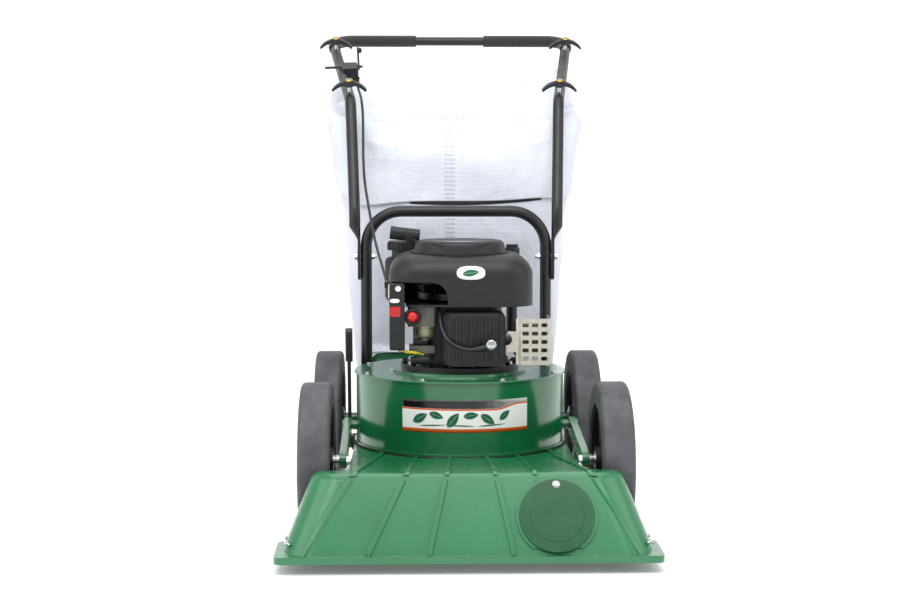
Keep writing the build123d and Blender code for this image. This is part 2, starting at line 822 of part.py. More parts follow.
def make_knobs():
    """Two-winged knobs, one over each stud, their wings drooping either side of the boss."""
    low = tube_radius + 13
    with BuildPart() as shape:
        with BuildSketch(Plane.XY.offset(low)):
            Circle(11)
        extrude(amount=14, taper=8)
        with BuildSketch(Plane.XZ.offset(-7)):
            with BuildLine():
                top_arc = ThreePointArc((-41, low - 9), (0, low + 13), (41, low - 9))
                Line(top_arc @ 1, (38, low - 12))
                low_arc = ThreePointArc((38, low - 12), (0, low + 4), (-38, low - 12))
                Line(low_arc @ 1, top_arc @ 0)
            make_face()
        extrude(amount=14)
        with BuildSketch(Plane.XY.offset(low - 6)):
            Circle(stud_radius + running_clearance)
        extrude(amount=36, mode=Mode.SUBTRACT)
    for height, distance in (("lower", lower_stud), ("upper", upper_stud)):
        for hand, sign in (("left", -1), ("right", 1)):
            base = tube_station(sign, distance)
            with BuildPart() as knob:
                with Locations(Plane(base.origin, x_dir=(1, 0, 0), z_dir=base.z_dir)):
                    add(shape.part)
            keep(knob, f"knob_{height}_{hand}")


def make_throttle():
    """Throttle control clamped to the left tube, its lever, and the slotted arm it pulls."""
    base = tube_station(-1, 220)
    frame = Plane(base.origin, x_dir=base.x_dir, z_dir=base.z_dir)
    with BuildPart() as body:
        with BuildSketch(frame.offset(-18)):
            with Locations((0, -18)):
                RectangleRounded(52, 40, 6)
        extrude(amount=38)
        with BuildSketch(Plane(frame.from_local_coords((-40, 0, 0)), x_dir=frame.y_dir, z_dir=frame.x_dir)):
            Circle(tube_radius + 0.02)
        extrude(amount=80, mode=Mode.SUBTRACT)
        with BuildSketch(Plane(frame.from_local_coords((0, -50, 16)), x_dir=frame.x_dir, z_dir=frame.y_dir)):
            Circle(3)
        extrude(amount=92)
    keep(body, "throttle_body")
    lever_frame = Plane(frame.from_local_coords((0, -38 - face_gap, 16)), x_dir=frame.x_dir, z_dir=-frame.y_dir)
    with BuildPart() as lever:
        with BuildSketch(lever_frame):
            with BuildLine():
                Line((0, 0), (16, 34))
            trace(line_width=9)
            Circle(8)
            with Locations((17, 36)):
                Circle(8)
            Circle(3 + running_clearance, mode=Mode.SUBTRACT)
        extrude(amount=4)
        with BuildSketch(lever_frame.offset(4)):
            with Locations((17, 36)):
                Circle(7)
        extrude(amount=7, taper=10)
    keep(lever, "throttle_lever")
    with BuildPart() as arm:
        with BuildSketch(along_x(box_left - face_gap, fan_y - 92, 452)):
            with BuildLine():
                Line((0, 0), (22, 22))
            trace(line_width=9)
            Circle(7)
            with Locations((22, 22)):
                Circle(6)
                Circle(1.6, mode=Mode.SUBTRACT)
            Circle(3 + running_clearance, mode=Mode.SUBTRACT)
        extrude(amount=-2.5)
    keep(arm, "throttle_arm")


def corner_radii(points):
    """Arc at each corner of a held cable, as large as its two runs allow."""
    radii = []
    for before, corner, after in zip(points, points[1:], points[2:]):
        into = Vector(*corner) - Vector(*before)
        out = Vector(*after) - Vector(*corner)
        turn = radians(into.get_angle(out))
        radii.append(0.45 * min(into.length, out.length) / (sin(turn / 2) / cos(turn / 2)))
    return radii


def make_cable(points, radius, name):
    """Round cable along straight runs joined by arcs."""
    radii = corner_radii(points)
    with BuildPart() as cable:
        with BuildLine() as path:
            FilletPolyline(*points, radius=radii)
        with BuildSketch(Plane(path.line @ 0, z_dir=path.line % 0)):
            Circle(radius)
        sweep()
    keep(cable, name)
    print(name, "length", round(path.wire().length, 1), "radii", [round(r) for r in radii])


def make_cables():
    """Throttle cable down the left tube to the engine, and the spark plug's lead."""
    base = tube_station(-1, 220)
    start = base.from_local_coords((-26.6, -24, -4))
    route = [
        (start.X, start.Y, start.Z),
        (-230, fan_y + 512, 910),
        (-220, fan_y + 442, 889),
        (-214, fan_y + 388, 856),
        (-212, fan_y + 360, 800),
        (-212, fan_y + 340, 740),
        (-208, fan_y + 300, 686),
        (-199, fan_y + 244, 640),
        (-189, fan_y + 190, 590),
        (-177, fan_y + 128, 542),
        (-164, fan_y + 64, 507),
        (-156, fan_y + 6, 483),
        (box_left - 6, fan_y - 37.5, 476),
    ]
    make_cable(route, cable_radius, "throttle_cable")
    lead = [
        (-45, fan_y - 104, 434),
        (-45, fan_y - 128, 418),
        (-42, fan_y - 148, 396),
        (-30, fan_y - 163, 372),
        (-6, fan_y - 170, 357),
        (22, fan_y - 172, 353),
        (48.3, fan_y - 172, 359),
    ]
    make_cable(lead, lead_radius, "spark_lead")


# engine


def engine_bolt_spots():
    """Places of the four crankcase bolts, clear of the crankcase's upright walls."""
    return [(112 * cos(radians(angle)), 112 * sin(radians(angle))) for angle in (25, 155, 205, 335)]


def make_crankcase():
    """Cast crankcase on a round foot, bored for the upright crankshaft."""
    with BuildPart() as case:
        with BuildSketch(ground.offset(engine_base)):
            Circle(124)
        extrude(amount=10)
        with BuildSketch(ground.offset(engine_base + 10)):
            with Locations((2, 18)):
                RectangleRounded(170, 168, 30)
        extrude(amount=cover_bottom - engine_base - 10)
        with BuildSketch(ground.offset(cover_bottom)):
            RectangleRounded(2 * (cover_half_x - cover_wall), 2 * (cover_half_y - cover_wall), 61)
            with Locations((box_right + notch_room - notch_width / 2, notch_y)):
                Rectangle(notch_width, notch_depth, mode=Mode.SUBTRACT)
        extrude(amount=4)
        with BuildSketch(ground.offset(engine_base + 10)):
            with PolarLocations(118, 16, start_angle=11.25):
                Rectangle(10, 4)
        extrude(amount=6)
        with BuildSketch(ground.offset(engine_base)):
            Circle(shaft_radius + running_clearance)
        extrude(amount=200, mode=Mode.SUBTRACT)
        with BuildSketch(ground.offset(engine_base)):
            with Locations(*engine_bolt_spots()):
                Circle(4 + running_clearance)
        extrude(amount=10, mode=Mode.SUBTRACT)
    keep(case, "crankcase")


def make_engine_bolts():
    """Four bolts that hold the crankcase down on the lid's pad."""
    with BuildPart() as bolts:
        for x, y in engine_bolt_spots():
            add(screw(Plane((x, fan_y + y, engine_base + 10)), 4, 18, 6.5, 5))
    keep(bolts, "engine_bolts")


def make_cylinder():
    """Air-cooled cylinder pointing forwards, with stacked fins and a ribbed head."""
    middle = (cylinder_left + cylinder_right) / 2
    wide = cylinder_right - cylinder_left
    with BuildPart() as cylinder:
        with BuildSketch(front.offset(66)):
            with Locations((middle, 371)):
                RectangleRounded(wide - 36, 86, 14)
        extrude(amount=76)
        for i in range(6):
            with BuildSketch(front.offset(70 + 11 * i)):
                with Locations((middle, 371)):
                    RectangleRounded(wide, 108, 12)
            extrude(amount=4)
        with BuildSketch(front.offset(138)):
            with Locations((middle, 371)):
                RectangleRounded(wide - 8, 108, 16)
        extrude(amount=8)
        with BuildSketch(front.offset(146)):
            with Locations((middle, 371)):
                with GridLocations(15, 0, 8, 1):
                    Rectangle(4, 92)
        extrude(amount=8)
        with BuildSketch(front.offset(146)):
            with Locations((plug_x, plug_z)):
                Circle(15)
        extrude(amount=9)
        with BuildSketch(front.offset(100)):
            with Locations((plug_x, plug_z)):
                Circle(7.05)
        extrude(amount=60, mode=Mode.SUBTRACT)
    keep(cylinder, "cylinder")


def cover_mass(inset):
    """Filled form of the blower cover, moved inwards by inset."""
    with BuildPart() as mass:
        with BuildSketch(ground.offset(cover_bottom - inset)):
            RectangleRounded(2 * (cover_half_x - inset), 2 * (cover_half_y - inset), 64 - inset)
        extrude(amount=cover_shoulder - cover_bottom)
        fillet(mass.edges().group_by(Axis.Z)[-1], 44 - inset)
        with BuildSketch(ground.offset(cover_shoulder - 30)):
            Circle(104 - inset)
        extrude(amount=cover_top - cover_shoulder + 30 - inset, taper=12)
        fillet(mass.edges().group_by(Axis.Z)[-1], 12)
    return mass.part


def make_cover():
    """Moulded blower cover: soft shoulders, low dome, and an arch cut out over the carburettor."""
    with BuildPart() as cover:
        add(cover_mass(0))
        add(cover_mass(cover_wall), mode=Mode.SUBTRACT)
        with BuildSketch(front.offset(-30)):
            with BuildLine():
                Polyline((-200, 400), (-200, cover_cut_top), (-28, cover_cut_top), (-28, 400), close=True)
            make_face()
            fillet(vertices().sort_by_distance((-28, cover_cut_top))[0], 34)
        extrude(amount=240, mode=Mode.SUBTRACT)
        with BuildSketch(starter_frame().offset(-80)):
            Circle(11)
        extrude(amount=80, mode=Mode.SUBTRACT)
    keep(cover, "blower_cover")


def starter_frame():
    """Plane at the starter grip's stem, its normal the way the rope is pulled."""
    return Plane((-106, fan_y + 62, 570), x_dir=(0, 1, 0), z_dir=(-0.8, 0, 0.6))


def make_starter_grip():
    """Starter handle with its tapered stem, and the rope's first stretch inside the cover."""
    frame = starter_frame()
    with BuildPart() as grip:
        with BuildSketch(frame.offset(-34)):
            Circle(9)
        extrude(amount=40, taper=-4)
        with BuildSketch(Plane(frame.from_local_coords((0, 0, 12)), x_dir=(0, 1, 0), z_dir=(1, 0, -0.12))) as bar:
            Ellipse(11, 14)
        extrude(amount=32, both=True)
        with BuildSketch(frame.offset(-140)):
            Circle(2.5)
        extrude(amount=112)
    keep(grip, "starter_grip")


def make_rotor():
    """Crankshaft, flywheel and mulching impeller, all turning together."""
    with BuildPart() as shaft:
        with BuildSketch(ground.offset(impeller_bottom + 20)):
            Circle(shaft_radius)
        extrude(amount=486 - impeller_bottom - 20)
    keep(shaft, "crankshaft")
    with BuildPart() as wheel:
        with BuildSketch(ground.offset(446)):
            Circle(90)
            Circle(shaft_radius, mode=Mode.SUBTRACT)
        extrude(amount=14)
        with BuildSketch(ground.offset(460)):
            with PolarLocations(70, 14):
                Rectangle(34, 3)
        extrude(amount=14)
    keep(wheel, "flywheel")
    with BuildPart() as fan:
        with BuildSketch(ground.offset(impeller_top - 5)):
            Circle(impeller_radius)
            Circle(shaft_radius, mode=Mode.SUBTRACT)
        extrude(amount=5)
        with BuildSketch(ground.offset(impeller_bottom + 20)):
            Circle(30)
            Circle(shaft_radius, mode=Mode.SUBTRACT)
        extrude(amount=impeller_top - impeller_bottom - 20)
        with BuildSketch(ground.offset(impeller_bottom)):
            with PolarLocations(impeller_radius / 2 + 12, 6):
                Rectangle(impeller_radius - 30, 5)
        extrude(amount=impeller_top - impeller_bottom)
    keep(fan, "impeller")


def make_controls():
    """Control box, carburettor with its float bowl, and the primer bulb in its bezel."""
    with BuildPart() as box:
        with BuildSketch(front.offset(44)):
            with Locations(((box_left + box_right) / 2, (box_bottom + box_top) / 2)):
                RectangleRounded(box_right - box_left, box_top - box_bottom, 4)
        extrude(amount=96)
        fillet(box.faces().sort_by(Axis.Y)[0].edges(), 2.5)
        with BuildSketch(front.offset(38)):
            with Locations((box_left - 4, 476)):
                Rectangle(14, 12)
        extrude(amount=12)
        with BuildSketch(along_x(box_left, fan_y - 92, 452, -1)):
            Circle(3)
        extrude(amount=6)
    keep(box, "control_box")
    with BuildPart() as carburettor:
        with BuildSketch(ground.offset(396)):
            with Locations((-81, -92)):
                RectangleRounded(58, 52, 6)
        extrude(amount=40)
        with BuildSketch(ground.offset(368)):
            with Locations((-74, -98)):
                Circle(15)
        extrude(amount=28)
        with BuildSketch(ground.offset(340)):
            with Locations((-81, -88)):
                Rectangle(52, 40)
        extrude(amount=16)
        with BuildSketch(ground.offset(340)):
            with Locations((-84, -69)):
                Rectangle(30, 6)
        extrude(amount=60)
        with BuildSketch(front.offset(110)):
            with Locations((primer_x, primer_z)):
                Circle(15)
        extrude(amount=20)
        with BuildSketch(front.offset(112)):
            with Locations((primer_x, primer_z)):
                Circle(primer_radius + 0.3)
        extrude(amount=30, mode=Mode.SUBTRACT)
    keep(carburettor, "carburettor")
    with BuildPart() as primer:
        with BuildSketch(front.offset(118)):
            with Locations((primer_x, primer_z)):
                Circle(primer_radius)
        extrude(amount=22)
        fillet(primer.edges().group_by(Axis.Y)[0], primer_radius - 1.5)
    keep(primer, "primer_bulb")


def make_exhaust():
    """Muffler on the cylinder's right side behind a slotted stamped guard."""
    with BuildPart() as muffler:
        with BuildSketch(ground.offset(334)):
            with Locations((137, -112)):
                RectangleRounded(60, 48, 16)
        extrude(amount=74)
        fillet(muffler.edges().group_by(Axis.Z)[-1] + muffler.edges().group_by(Axis.Z)[0], 8)
        with BuildSketch(along_x(cylinder_right, fan_y - 110, 372)):
            Circle(15)
        extrude(amount=137 - cylinder_right)
    keep(muffler, "muffler")
    with BuildPart() as guard:
        with BuildSketch(ground.offset(guard_bottom)):
            with BuildLine():
                FilletPolyline((92, -156), (114, -156), (120, -162), (178, -162), (178, -78), radius=4)
            trace(line_width=1.6)
        extrude(amount=guard_top - guard_bottom)
        with BuildSketch(front.offset(170)):
            with Locations((147, (guard_bottom + guard_top) / 2)):
                with GridLocations(19, 17, 3, 5):
                    RectangleRounded(13, 8, 2)
            with Locations((88, 374)):
                Circle(13)
            with Locations((98, guard_top - 8), (98, guard_bottom + 8)):
                Rectangle(22, 36)
        extrude(amount=-22, mode=Mode.SUBTRACT)
        with BuildSketch(along_x(190, fan_y - 120, (guard_bottom + guard_top) / 2, -1)):
            with GridLocations(24, 17, 2, 5):
                RectangleRounded(16, 8, 2)
        extrude(amount=30, mode=Mode.SUBTRACT)
    keep(guard, "muffler_guard")


def make_fuel_and_oil():
    """Fuel tank behind the engine with its cap, and the oil filler tube with its cap."""
    with BuildPart() as tank:
        with BuildSketch(ground.offset(430)):
            with Locations((-98, 176)):
                RectangleRounded(124, 80, 24)
        extrude(amount=92)
        fillet(tank.edges().group_by(Axis.Z)[-1], 12)
        fillet(tank.edges().group_by(Axis.Z)[0], 8)
        with BuildSketch(ground.offset(500)):
            with Locations((fuel_x, filler_y)):
                Circle(22)
        extrude(amount=cap_base - 500)
    keep(tank, "fuel_tank")
    with BuildPart() as cap:
        with BuildSketch(ground.offset(cap_base + face_gap)):
            with Locations((fuel_x, filler_y)):
                Circle(30)
        extrude(amount=20)
        fillet(cap.edges().group_by(Axis.Z)[-1], 3)
        with BuildSketch(ground.offset(cap_base + face_gap)):
            with Locations((fuel_x, filler_y)):
                with PolarLocations(30, 24):
                    Circle(1.8)
        extrude(amount=16)
    keep(cap, "fuel_cap")
    with BuildPart() as tube:
        with BuildSketch(ground.offset(330)):
            with Locations((oil_x, filler_y)):
                Circle(12)
        extrude(amount=cap_base - 10 - 330)
        with BuildSketch(ground.offset(330)):
            with Locations(((oil_x + 60) / 2, filler_y - 20)):
                Rectangle(oil_x - 60 + 20, 20)
            with Locations((70, 126)):
                Rectangle(20, 48)
        extrude(amount=20)
    keep(tube, "oil_filler")
    with BuildPart() as lid:
        with BuildSketch(ground.offset(cap_base - 10 + face_gap)):
            with Locations((oil_x, filler_y)):
                Circle(17)
        extrude(amount=14)
        with BuildSketch(ground.offset(cap_base + 4 + face_gap)):
            with Locations((oil_x, filler_y)):
                Rectangle(26, 7)
        extrude(amount=8)
    keep(lid, "oil_cap")


def make_plug():
    """Spark plug with the shielded boot pushed on to it."""
    with BuildPart() as plug:
        with BuildSketch(front.offset(130)):
            with Locations((plug_x, plug_z)):
                Circle(7)
        extrude(amount=32)
        with BuildSketch(front.offset(155 + face_gap)):
            with Locations((plug_x, plug_z)):
                RegularPolygon(10, 6)
        extrude(amount=6)
        with BuildSketch(front.offset(162)):
            with Locations((plug_x, plug_z)):
                Circle(9.5)
        extrude(amount=20, taper=8)
    keep(plug, "spark_plug")


# bag


def bag_mass(inset):
    """Filled form of the hanging bag, moved inwards by inset."""
    with BuildPart() as mass:
        with BuildSketch(side):
            with BuildLine():
                Polyline(
                    (bag_front, bag_floor),
                    (bag_front, 600),
                    (bag_front + 52, bag_shoulder_z),
                    (bag_rear - 12, bag_top_z),
                    (bag_rear, bag_top_z - 40),
                    (bag_rear - 30, bag_floor),
                    close=True,
                )
            make_face()
            if inset != 0:
                offset(amount=-inset, kind=Kind.INTERSECTION)
        extrude(amount=400, both=True)
        with BuildSketch(front):
            with BuildLine():
                Polyline(
                    (-bag_half_bottom, bag_floor),
                    (-bag_half_bottom - 22, 560),
                    (-bag_half_top, 860),
                    (-bag_half_top, bag_top_z),
                    (bag_half_top, bag_top_z),
                    (bag_half_top, 860),
                    (bag_half_bottom + 22, 560),
                    (bag_half_bottom, bag_floor),
                    close=True,
                )
            make_face()
            if inset != 0:
                offset(amount=-inset, kind=Kind.INTERSECTION)
        extrude(amount=-900, mode=Mode.INTERSECT)
    return mass.part


def make_bag():
    """Cloth bag as a thin shell with a sleeve over the chute's collar, and the band that grips it."""
    middle = ((chute_left + chute_right) / 2, (chute_bottom + chute_top) / 2)
    wide = chute_right - chute_left + 2 * chute_collar + 2 * face_gap
    tall = chute_top - chute_bottom + 2 * chute_collar + 2 * face_gap
    with BuildPart() as bag:
        add(bag_mass(0))
        add(bag_mass(bag_cloth), mode=Mode.SUBTRACT)
        with BuildSketch(front.offset(-(chute_end - 14))):
            with Locations(middle):
                RectangleRounded(wide + 2 * bag_cloth, tall + 2 * bag_cloth, 14)
        extrude(amount=-(bag_front - chute_end + 15))
        with BuildSketch(front.offset(-(chute_end - 16))):
            with Locations(middle):
                RectangleRounded(wide, tall, 11)
        extrude(amount=-(bag_front - chute_end + 30), mode=Mode.SUBTRACT)
    keep(bag, "bag")
    with BuildPart() as clamp:
        with BuildSketch(front.offset(-(chute_end - 11))):
            with Locations(middle):
                RectangleRounded(wide + 2 * bag_cloth + 4, tall + 2 * bag_cloth + 4, 16)
                RectangleRounded(wide + 2 * bag_cloth, tall + 2 * bag_cloth, 14, mode=Mode.SUBTRACT)
        extrude(amount=-9)
        with BuildSketch(front.offset(-(chute_end - 11))):
            with Locations((middle[0], middle[1] + tall / 2 + bag_cloth + 7)):
                Rectangle(16, 11)
        extrude(amount=-9)
    keep(clamp, "bag_clamp")


make_drum()
make_lid()
make_chute()
make_hood()
make_door()
make_deck_screws()
for wheel_sign, wheel_side in ((-1, "left"), (1, "right")):
    make_wheel(wheel_sign, front_axle_y, f"front_{wheel_side}")
    make_wheel(wheel_sign, rear_axle_y, f"rear_{wheel_side}")
    make_front_arm(wheel_sign, wheel_side)
make_rear_axle()
make_brackets()
make_loop()
make_pivot_bolts()
make_arm_pivots()
make_height_lever()
for handle_sign, handle_side in ((-1, "left"), (1, "right")):
    make_side_tube(handle_sign, handle_side)
    make_foam_grip(handle_sign, handle_side)
make_grip_bar()
make_studs()
make_knobs()
make_throttle()
make_cables()
make_crankcase()
make_engine_bolts()
make_cylinder()
make_cover()
make_starter_grip()
make_rotor()
make_controls()
make_exhaust()
make_fuel_and_oil()
make_plug()
make_bag()

os.makedirs("parts", exist_ok=True)
for name, piece in pieces.items():
    export_step(piece, f"parts/{name}.step")
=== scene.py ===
import json
import math

import bmesh
import bpy
import numpy as np
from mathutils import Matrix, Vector


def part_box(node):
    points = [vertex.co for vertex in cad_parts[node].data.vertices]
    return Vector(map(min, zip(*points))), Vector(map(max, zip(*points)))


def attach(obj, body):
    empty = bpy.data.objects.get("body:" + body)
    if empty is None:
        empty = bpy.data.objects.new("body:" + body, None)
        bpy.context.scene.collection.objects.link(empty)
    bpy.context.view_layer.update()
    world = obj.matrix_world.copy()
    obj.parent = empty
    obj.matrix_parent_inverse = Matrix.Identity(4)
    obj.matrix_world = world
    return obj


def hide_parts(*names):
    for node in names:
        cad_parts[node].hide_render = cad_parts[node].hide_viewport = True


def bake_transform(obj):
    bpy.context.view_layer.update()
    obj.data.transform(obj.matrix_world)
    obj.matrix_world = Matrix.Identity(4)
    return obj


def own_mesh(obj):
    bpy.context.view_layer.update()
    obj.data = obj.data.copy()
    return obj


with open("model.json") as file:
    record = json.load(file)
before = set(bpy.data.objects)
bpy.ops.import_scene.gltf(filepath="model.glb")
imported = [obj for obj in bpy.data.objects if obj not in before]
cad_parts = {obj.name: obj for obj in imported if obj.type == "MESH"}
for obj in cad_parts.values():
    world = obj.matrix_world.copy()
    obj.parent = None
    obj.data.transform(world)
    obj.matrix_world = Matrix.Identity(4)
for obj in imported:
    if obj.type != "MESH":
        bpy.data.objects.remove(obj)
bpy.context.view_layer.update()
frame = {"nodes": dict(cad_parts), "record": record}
nodes = frame["nodes"]
slotOf = {part["node"]: part["material_slot"] for part in frame["record"]["subparts"]}
mm = 0.001
fanY = (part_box("fan_housing")[0].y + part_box("fan_housing")[1].y) / 2  # the fan's axis stands at x = 0
print("frame loaded:", len(nodes), "nodes")


# small helpers

def linearColour(hexCode):
    # sRGB hex to the linear values that shaders take
    channels = np.array([int(hexCode[i:i + 2], 16) for i in (1, 3, 5)]) / 255
    linear = np.where(channels <= 0.04045, channels / 12.92, ((channels + 0.055) / 1.055) ** 2.4)
    return (*linear.tolist(), 1.0)


def addNode(tree, kind, settings=None, inputs=None):
    # one node with its settings; an input is a plain value or the socket that feeds it
    node = tree.nodes.new(kind)
    for key, value in (settings or {}).items():
        setattr(node, key, value)
    for key, value in (inputs or {}).items():
        if isinstance(value, bpy.types.NodeSocket):
            tree.links.new(value, node.inputs[key])
        else:
            node.inputs[key].default_value = value
    return node


def meshPiece(name, vertices, faces, material, sharpAngle=35, uv=None):
    mesh = bpy.data.meshes.new(name)
    mesh.from_pydata(vertices.reshape(-1, 3).tolist(), [], faces)
    mesh.polygons.foreach_set("use_smooth", np.ones(len(mesh.polygons), bool))
    mesh.set_sharp_from_angle(angle=math.radians(sharpAngle))
    if uv is not None:
        corners = np.empty(len(mesh.loops), np.int32)
        mesh.loops.foreach_get("vertex_index", corners)
        layer = mesh.uv_layers.new(name="surface")
        layer.data.foreach_set("uv", uv.reshape(-1, 2)[corners].astype(np.float32).ravel())
    mesh.materials.append(material)
    mesh.validate()
    piece = bpy.data.objects.new(name, mesh)
    bpy.context.scene.collection.objects.link(piece)
    return piece


def gridFaces(rows, columns, closedRows=False, closedColumns=False, caps=False, start=0):
    # every cell of a grid of points is one quad; caps close the first and last rows
    index = np.arange(rows * columns).reshape(rows, columns) + start
    grid = np.vstack([index, index[:1]]) if closedRows else index
    grid = np.hstack([grid, grid[:, :1]]) if closedColumns else grid
    quads = np.stack([grid[:-1, :-1], grid[:-1, 1:], grid[1:, 1:], grid[1:, :-1]], -1).reshape(-1, 4)
    faces = quads.tolist()
    if caps:
        faces += [index[0].tolist()[::-1], index[-1].tolist()]
    return faces


def turned(name, profile, origin, axis, material, segments=64, closed=False):
    # profile of (radius, height) turned about an axis: origin + height * axis + radius * (cos, sin)
    profile = np.array(profile, float)
    axis = Vector(axis).normalized()
    first = axis.orthogonal().normalized()
    second = axis.cross(first)
    angle = np.linspace(0, 2 * np.pi, segments, endpoint=False)
    ring = np.cos(angle)[:, None] * np.array(first) + np.sin(angle)[:, None] * np.array(second)
    points = np.array(origin) + profile[:, None, 1:] * np.array(axis) + profile[:, None, :1] * ring
    faces = gridFaces(len(profile), segments, closedRows=closed, closedColumns=True, caps=not closed)
    return meshPiece(name, points, faces, material)


def sweep(name, path, radii, material, sides=16, flat=1.0, up=(0, 0, 1), caps=True):
    # a round or flattened section carried along a path; up says which way the flat side faces
    path = np.array(path, float)
    tangent = np.gradient(path, axis=0)
    tangent /= np.linalg.norm(tangent, axis=1)[:, None]
    across = np.cross(tangent, np.array(up, float))
    across /= np.linalg.norm(across, axis=1)[:, None]
    upward = np.cross(across, tangent)
    angle = np.linspace(0, 2 * np.pi, sides, endpoint=False)
    radii = np.broadcast_to(np.array(radii, float), (len(path),))
    section = np.cos(angle)[None, :, None] * across[:, None] + flat * np.sin(angle)[None, :, None] * upward[:, None]
    points = path[:, None] + radii[:, None, None] * section
    return meshPiece(name, points, gridFaces(len(path), sides, closedColumns=True, caps=caps), material)


def merged(name, pieces):
    # several meshes of one piece joined into one object
    vertices, faces, materials, slots, count = [], [], [], [], 0
    for piece in pieces:
        mesh = piece.data
        co = np.empty(len(mesh.vertices) * 3)
        mesh.vertices.foreach_get("co", co)
        vertices.append(co.reshape(-1, 3))
        faces += [[v + count for v in face.vertices] for face in mesh.polygons]
        if mesh.materials[0] not in materials:
            materials.append(mesh.materials[0])
        slots += [materials.index(mesh.materials[0])] * len(mesh.polygons)
        count += len(mesh.vertices)
        bpy.data.objects.remove(piece)
    joined = meshPiece(name, np.vstack(vertices), faces, materials[0])
    for material in materials[1:]:
        joined.data.materials.append(material)
    joined.data.polygons.foreach_set("material_index", np.array(slots, np.int32))
    return joined


def smoothRoute(points):
    # the line that a cord follows: a NURBS spline with the route's points as its control points
    curve = bpy.data.curves.new("route", "CURVE")
    curve.dimensions = "3D"
    spline = curve.splines.new("NURBS")
    spline.points.add(len(points) - 1)
    for target, point in zip(spline.points, points):
        target.co = (*point, 1)
    spline.order_u = 3
    spline.use_endpoint_u = True
    spline.resolution_u = 12
    holder = bpy.data.objects.new("route", curve)
    bpy.context.scene.collection.objects.link(holder)
    bpy.context.view_layer.update()
    mesh = bpy.data.meshes.new_from_object(holder.evaluated_get(bpy.context.evaluated_depsgraph_get()))
    line = np.empty(len(mesh.vertices) * 3)
    mesh.vertices.foreach_get("co", line)
    bpy.data.objects.remove(holder)
    return line.reshape(-1, 3)


def place(piece, body, slot, replaced=()):
    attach(piece, body)
    if replaced:
        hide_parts(*replaced)
    return piece


# camera, light and floor

view = {"place": (-0.1063, -3.585, 0.7306), "turn": 0.0249, "tilt": -0.084, "lens": 65.4}
lamps = {
    "frontTop": {"place": (-0.2, -2.1, 3.5), "size": (3.6, 2.2), "power": 92, "shine": 0.5},
    "left": {"place": (-3.0, -1.6, 1.7), "size": (2.4, 2.8), "power": 32, "shine": 0.6},
    "right": {"place": (3.0, -1.4, 1.9), "size": (2.4, 2.8), "power": 26, "shine": 0.6},
    "overhead": {"place": (0.0, 0.6, 3.6), "size": (3.0, 3.0), "power": 34, "shine": 1.0},
}
studio = {"world": "#ffffff", "worldStrength": 0.72, "floor": "#fbfbfb", "glow": 0.12}


def makeStudio():
    camera = bpy.data.objects.new("camera", bpy.data.cameras.new("camera"))
    camera.location = view["place"]
    camera.rotation_euler = (math.pi / 2 + view["tilt"], 0, -view["turn"])
    camera.data.lens = view["lens"]
    bpy.context.scene.collection.objects.link(camera)
    bpy.context.scene.camera = camera
    for name, lamp in lamps.items():
        light = bpy.data.lights.new(name, "AREA")
        light.shape = "RECTANGLE"
        light.size, light.size_y = lamp["size"]
        light.energy = lamp["power"]
        light.specular_factor = lamp["shine"]
        holder = bpy.data.objects.new(name, light)
        holder.location = lamp["place"]
        aim = Vector((0, -0.1, 0.4)) - Vector(lamp["place"])
        holder.rotation_euler = aim.to_track_quat("-Z", "Y").to_euler()
        bpy.context.scene.collection.objects.link(holder)
    world = bpy.data.worlds.new("studio")
    world.use_nodes = True
    world.node_tree.nodes["Background"].inputs["Color"].default_value = linearColour(studio["world"])
    world.node_tree.nodes["Background"].inputs["Strength"].default_value = studio["worldStrength"]
    bpy.context.scene.world = world
    bpy.context.scene.view_settings.view_transform = "Standard"
    # floor that sweeps up behind the machine: a flat run, a quarter circle, a wall
    turn = np.linspace(0, np.pi / 2, 16)
    line = np.vstack([[(-6, 0)], np.c_[3.5 + 1.5 * np.sin(turn), 1.5 - 1.5 * np.cos(turn)], [(5, 6)]])
    across = np.array([-8.0, 8.0])
    points = np.stack(np.broadcast_arrays(across[None, :], line[:, :1], line[:, 1:]), -1)
    material = bpy.data.materials.new("paleFloor")
    material.use_nodes = True
    shader = material.node_tree.nodes["Principled BSDF"]
    shader.inputs["Base Color"].default_value = linearColour(studio["floor"])
    shader.inputs["Roughness"].default_value = 0.6
    shader.inputs["Emission Color"].default_value = linearColour(studio["world"])
    shader.inputs["Emission Strength"].default_value = studio["glow"]
    floor = meshPiece("floor", points, gridFaces(len(line), 2), material)


# materials

def startMaterial(name, colour, roughness, **inputs):
    material = bpy.data.materials.new(name)
    material.use_nodes = True
    tree = material.node_tree
    shader = tree.nodes["Principled BSDF"]
    shader.inputs["Base Color"].default_value = linearColour(colour)
    shader.inputs["Roughness"].default_value = roughness
    for key, value in inputs.items():
        shader.inputs[key].default_value = value
    place = addNode(tree, "ShaderNodeTexCoord").outputs["Object"]
    return material, tree, shader, place


def noise(tree, place, sizeMm, detail=2.0, stretch=None):
    # noise whose blobs are about sizeMm across; stretch squeezes them along an axis
    if stretch:
        place = addNode(tree, "ShaderNodeMapping", inputs={"Vector": place, "Scale": stretch}).outputs["Vector"]
    inputs = {"Vector": place, "Scale": 1 / (sizeMm * mm), "Detail": detail, "Roughness": 0.55}
    return addNode(tree, "ShaderNodeTexNoise", inputs=inputs).outputs["Fac"]


def spread(tree, value, low, high, start=0.3, end=0.7):
    # maps a pattern's value onto a range
    inputs = {"Value": value, "From Min": start, "From Max": end, "To Min": low, "To Max": high}
    return addNode(tree, "ShaderNodeMapRange", inputs=inputs).outputs["Result"]


def blendColours(tree, factor, first, second):
    # first and second are hex codes or colour sockets
    node = addNode(tree, "ShaderNodeMix", {"data_type": "RGBA"}, {0: factor})
    for socket, colour in ((6, first), (7, second)):
        if isinstance(colour, str):
            node.inputs[socket].default_value = linearColour(colour)
        else:
            tree.links.new(colour, node.inputs[socket])
    return node.outputs[2]


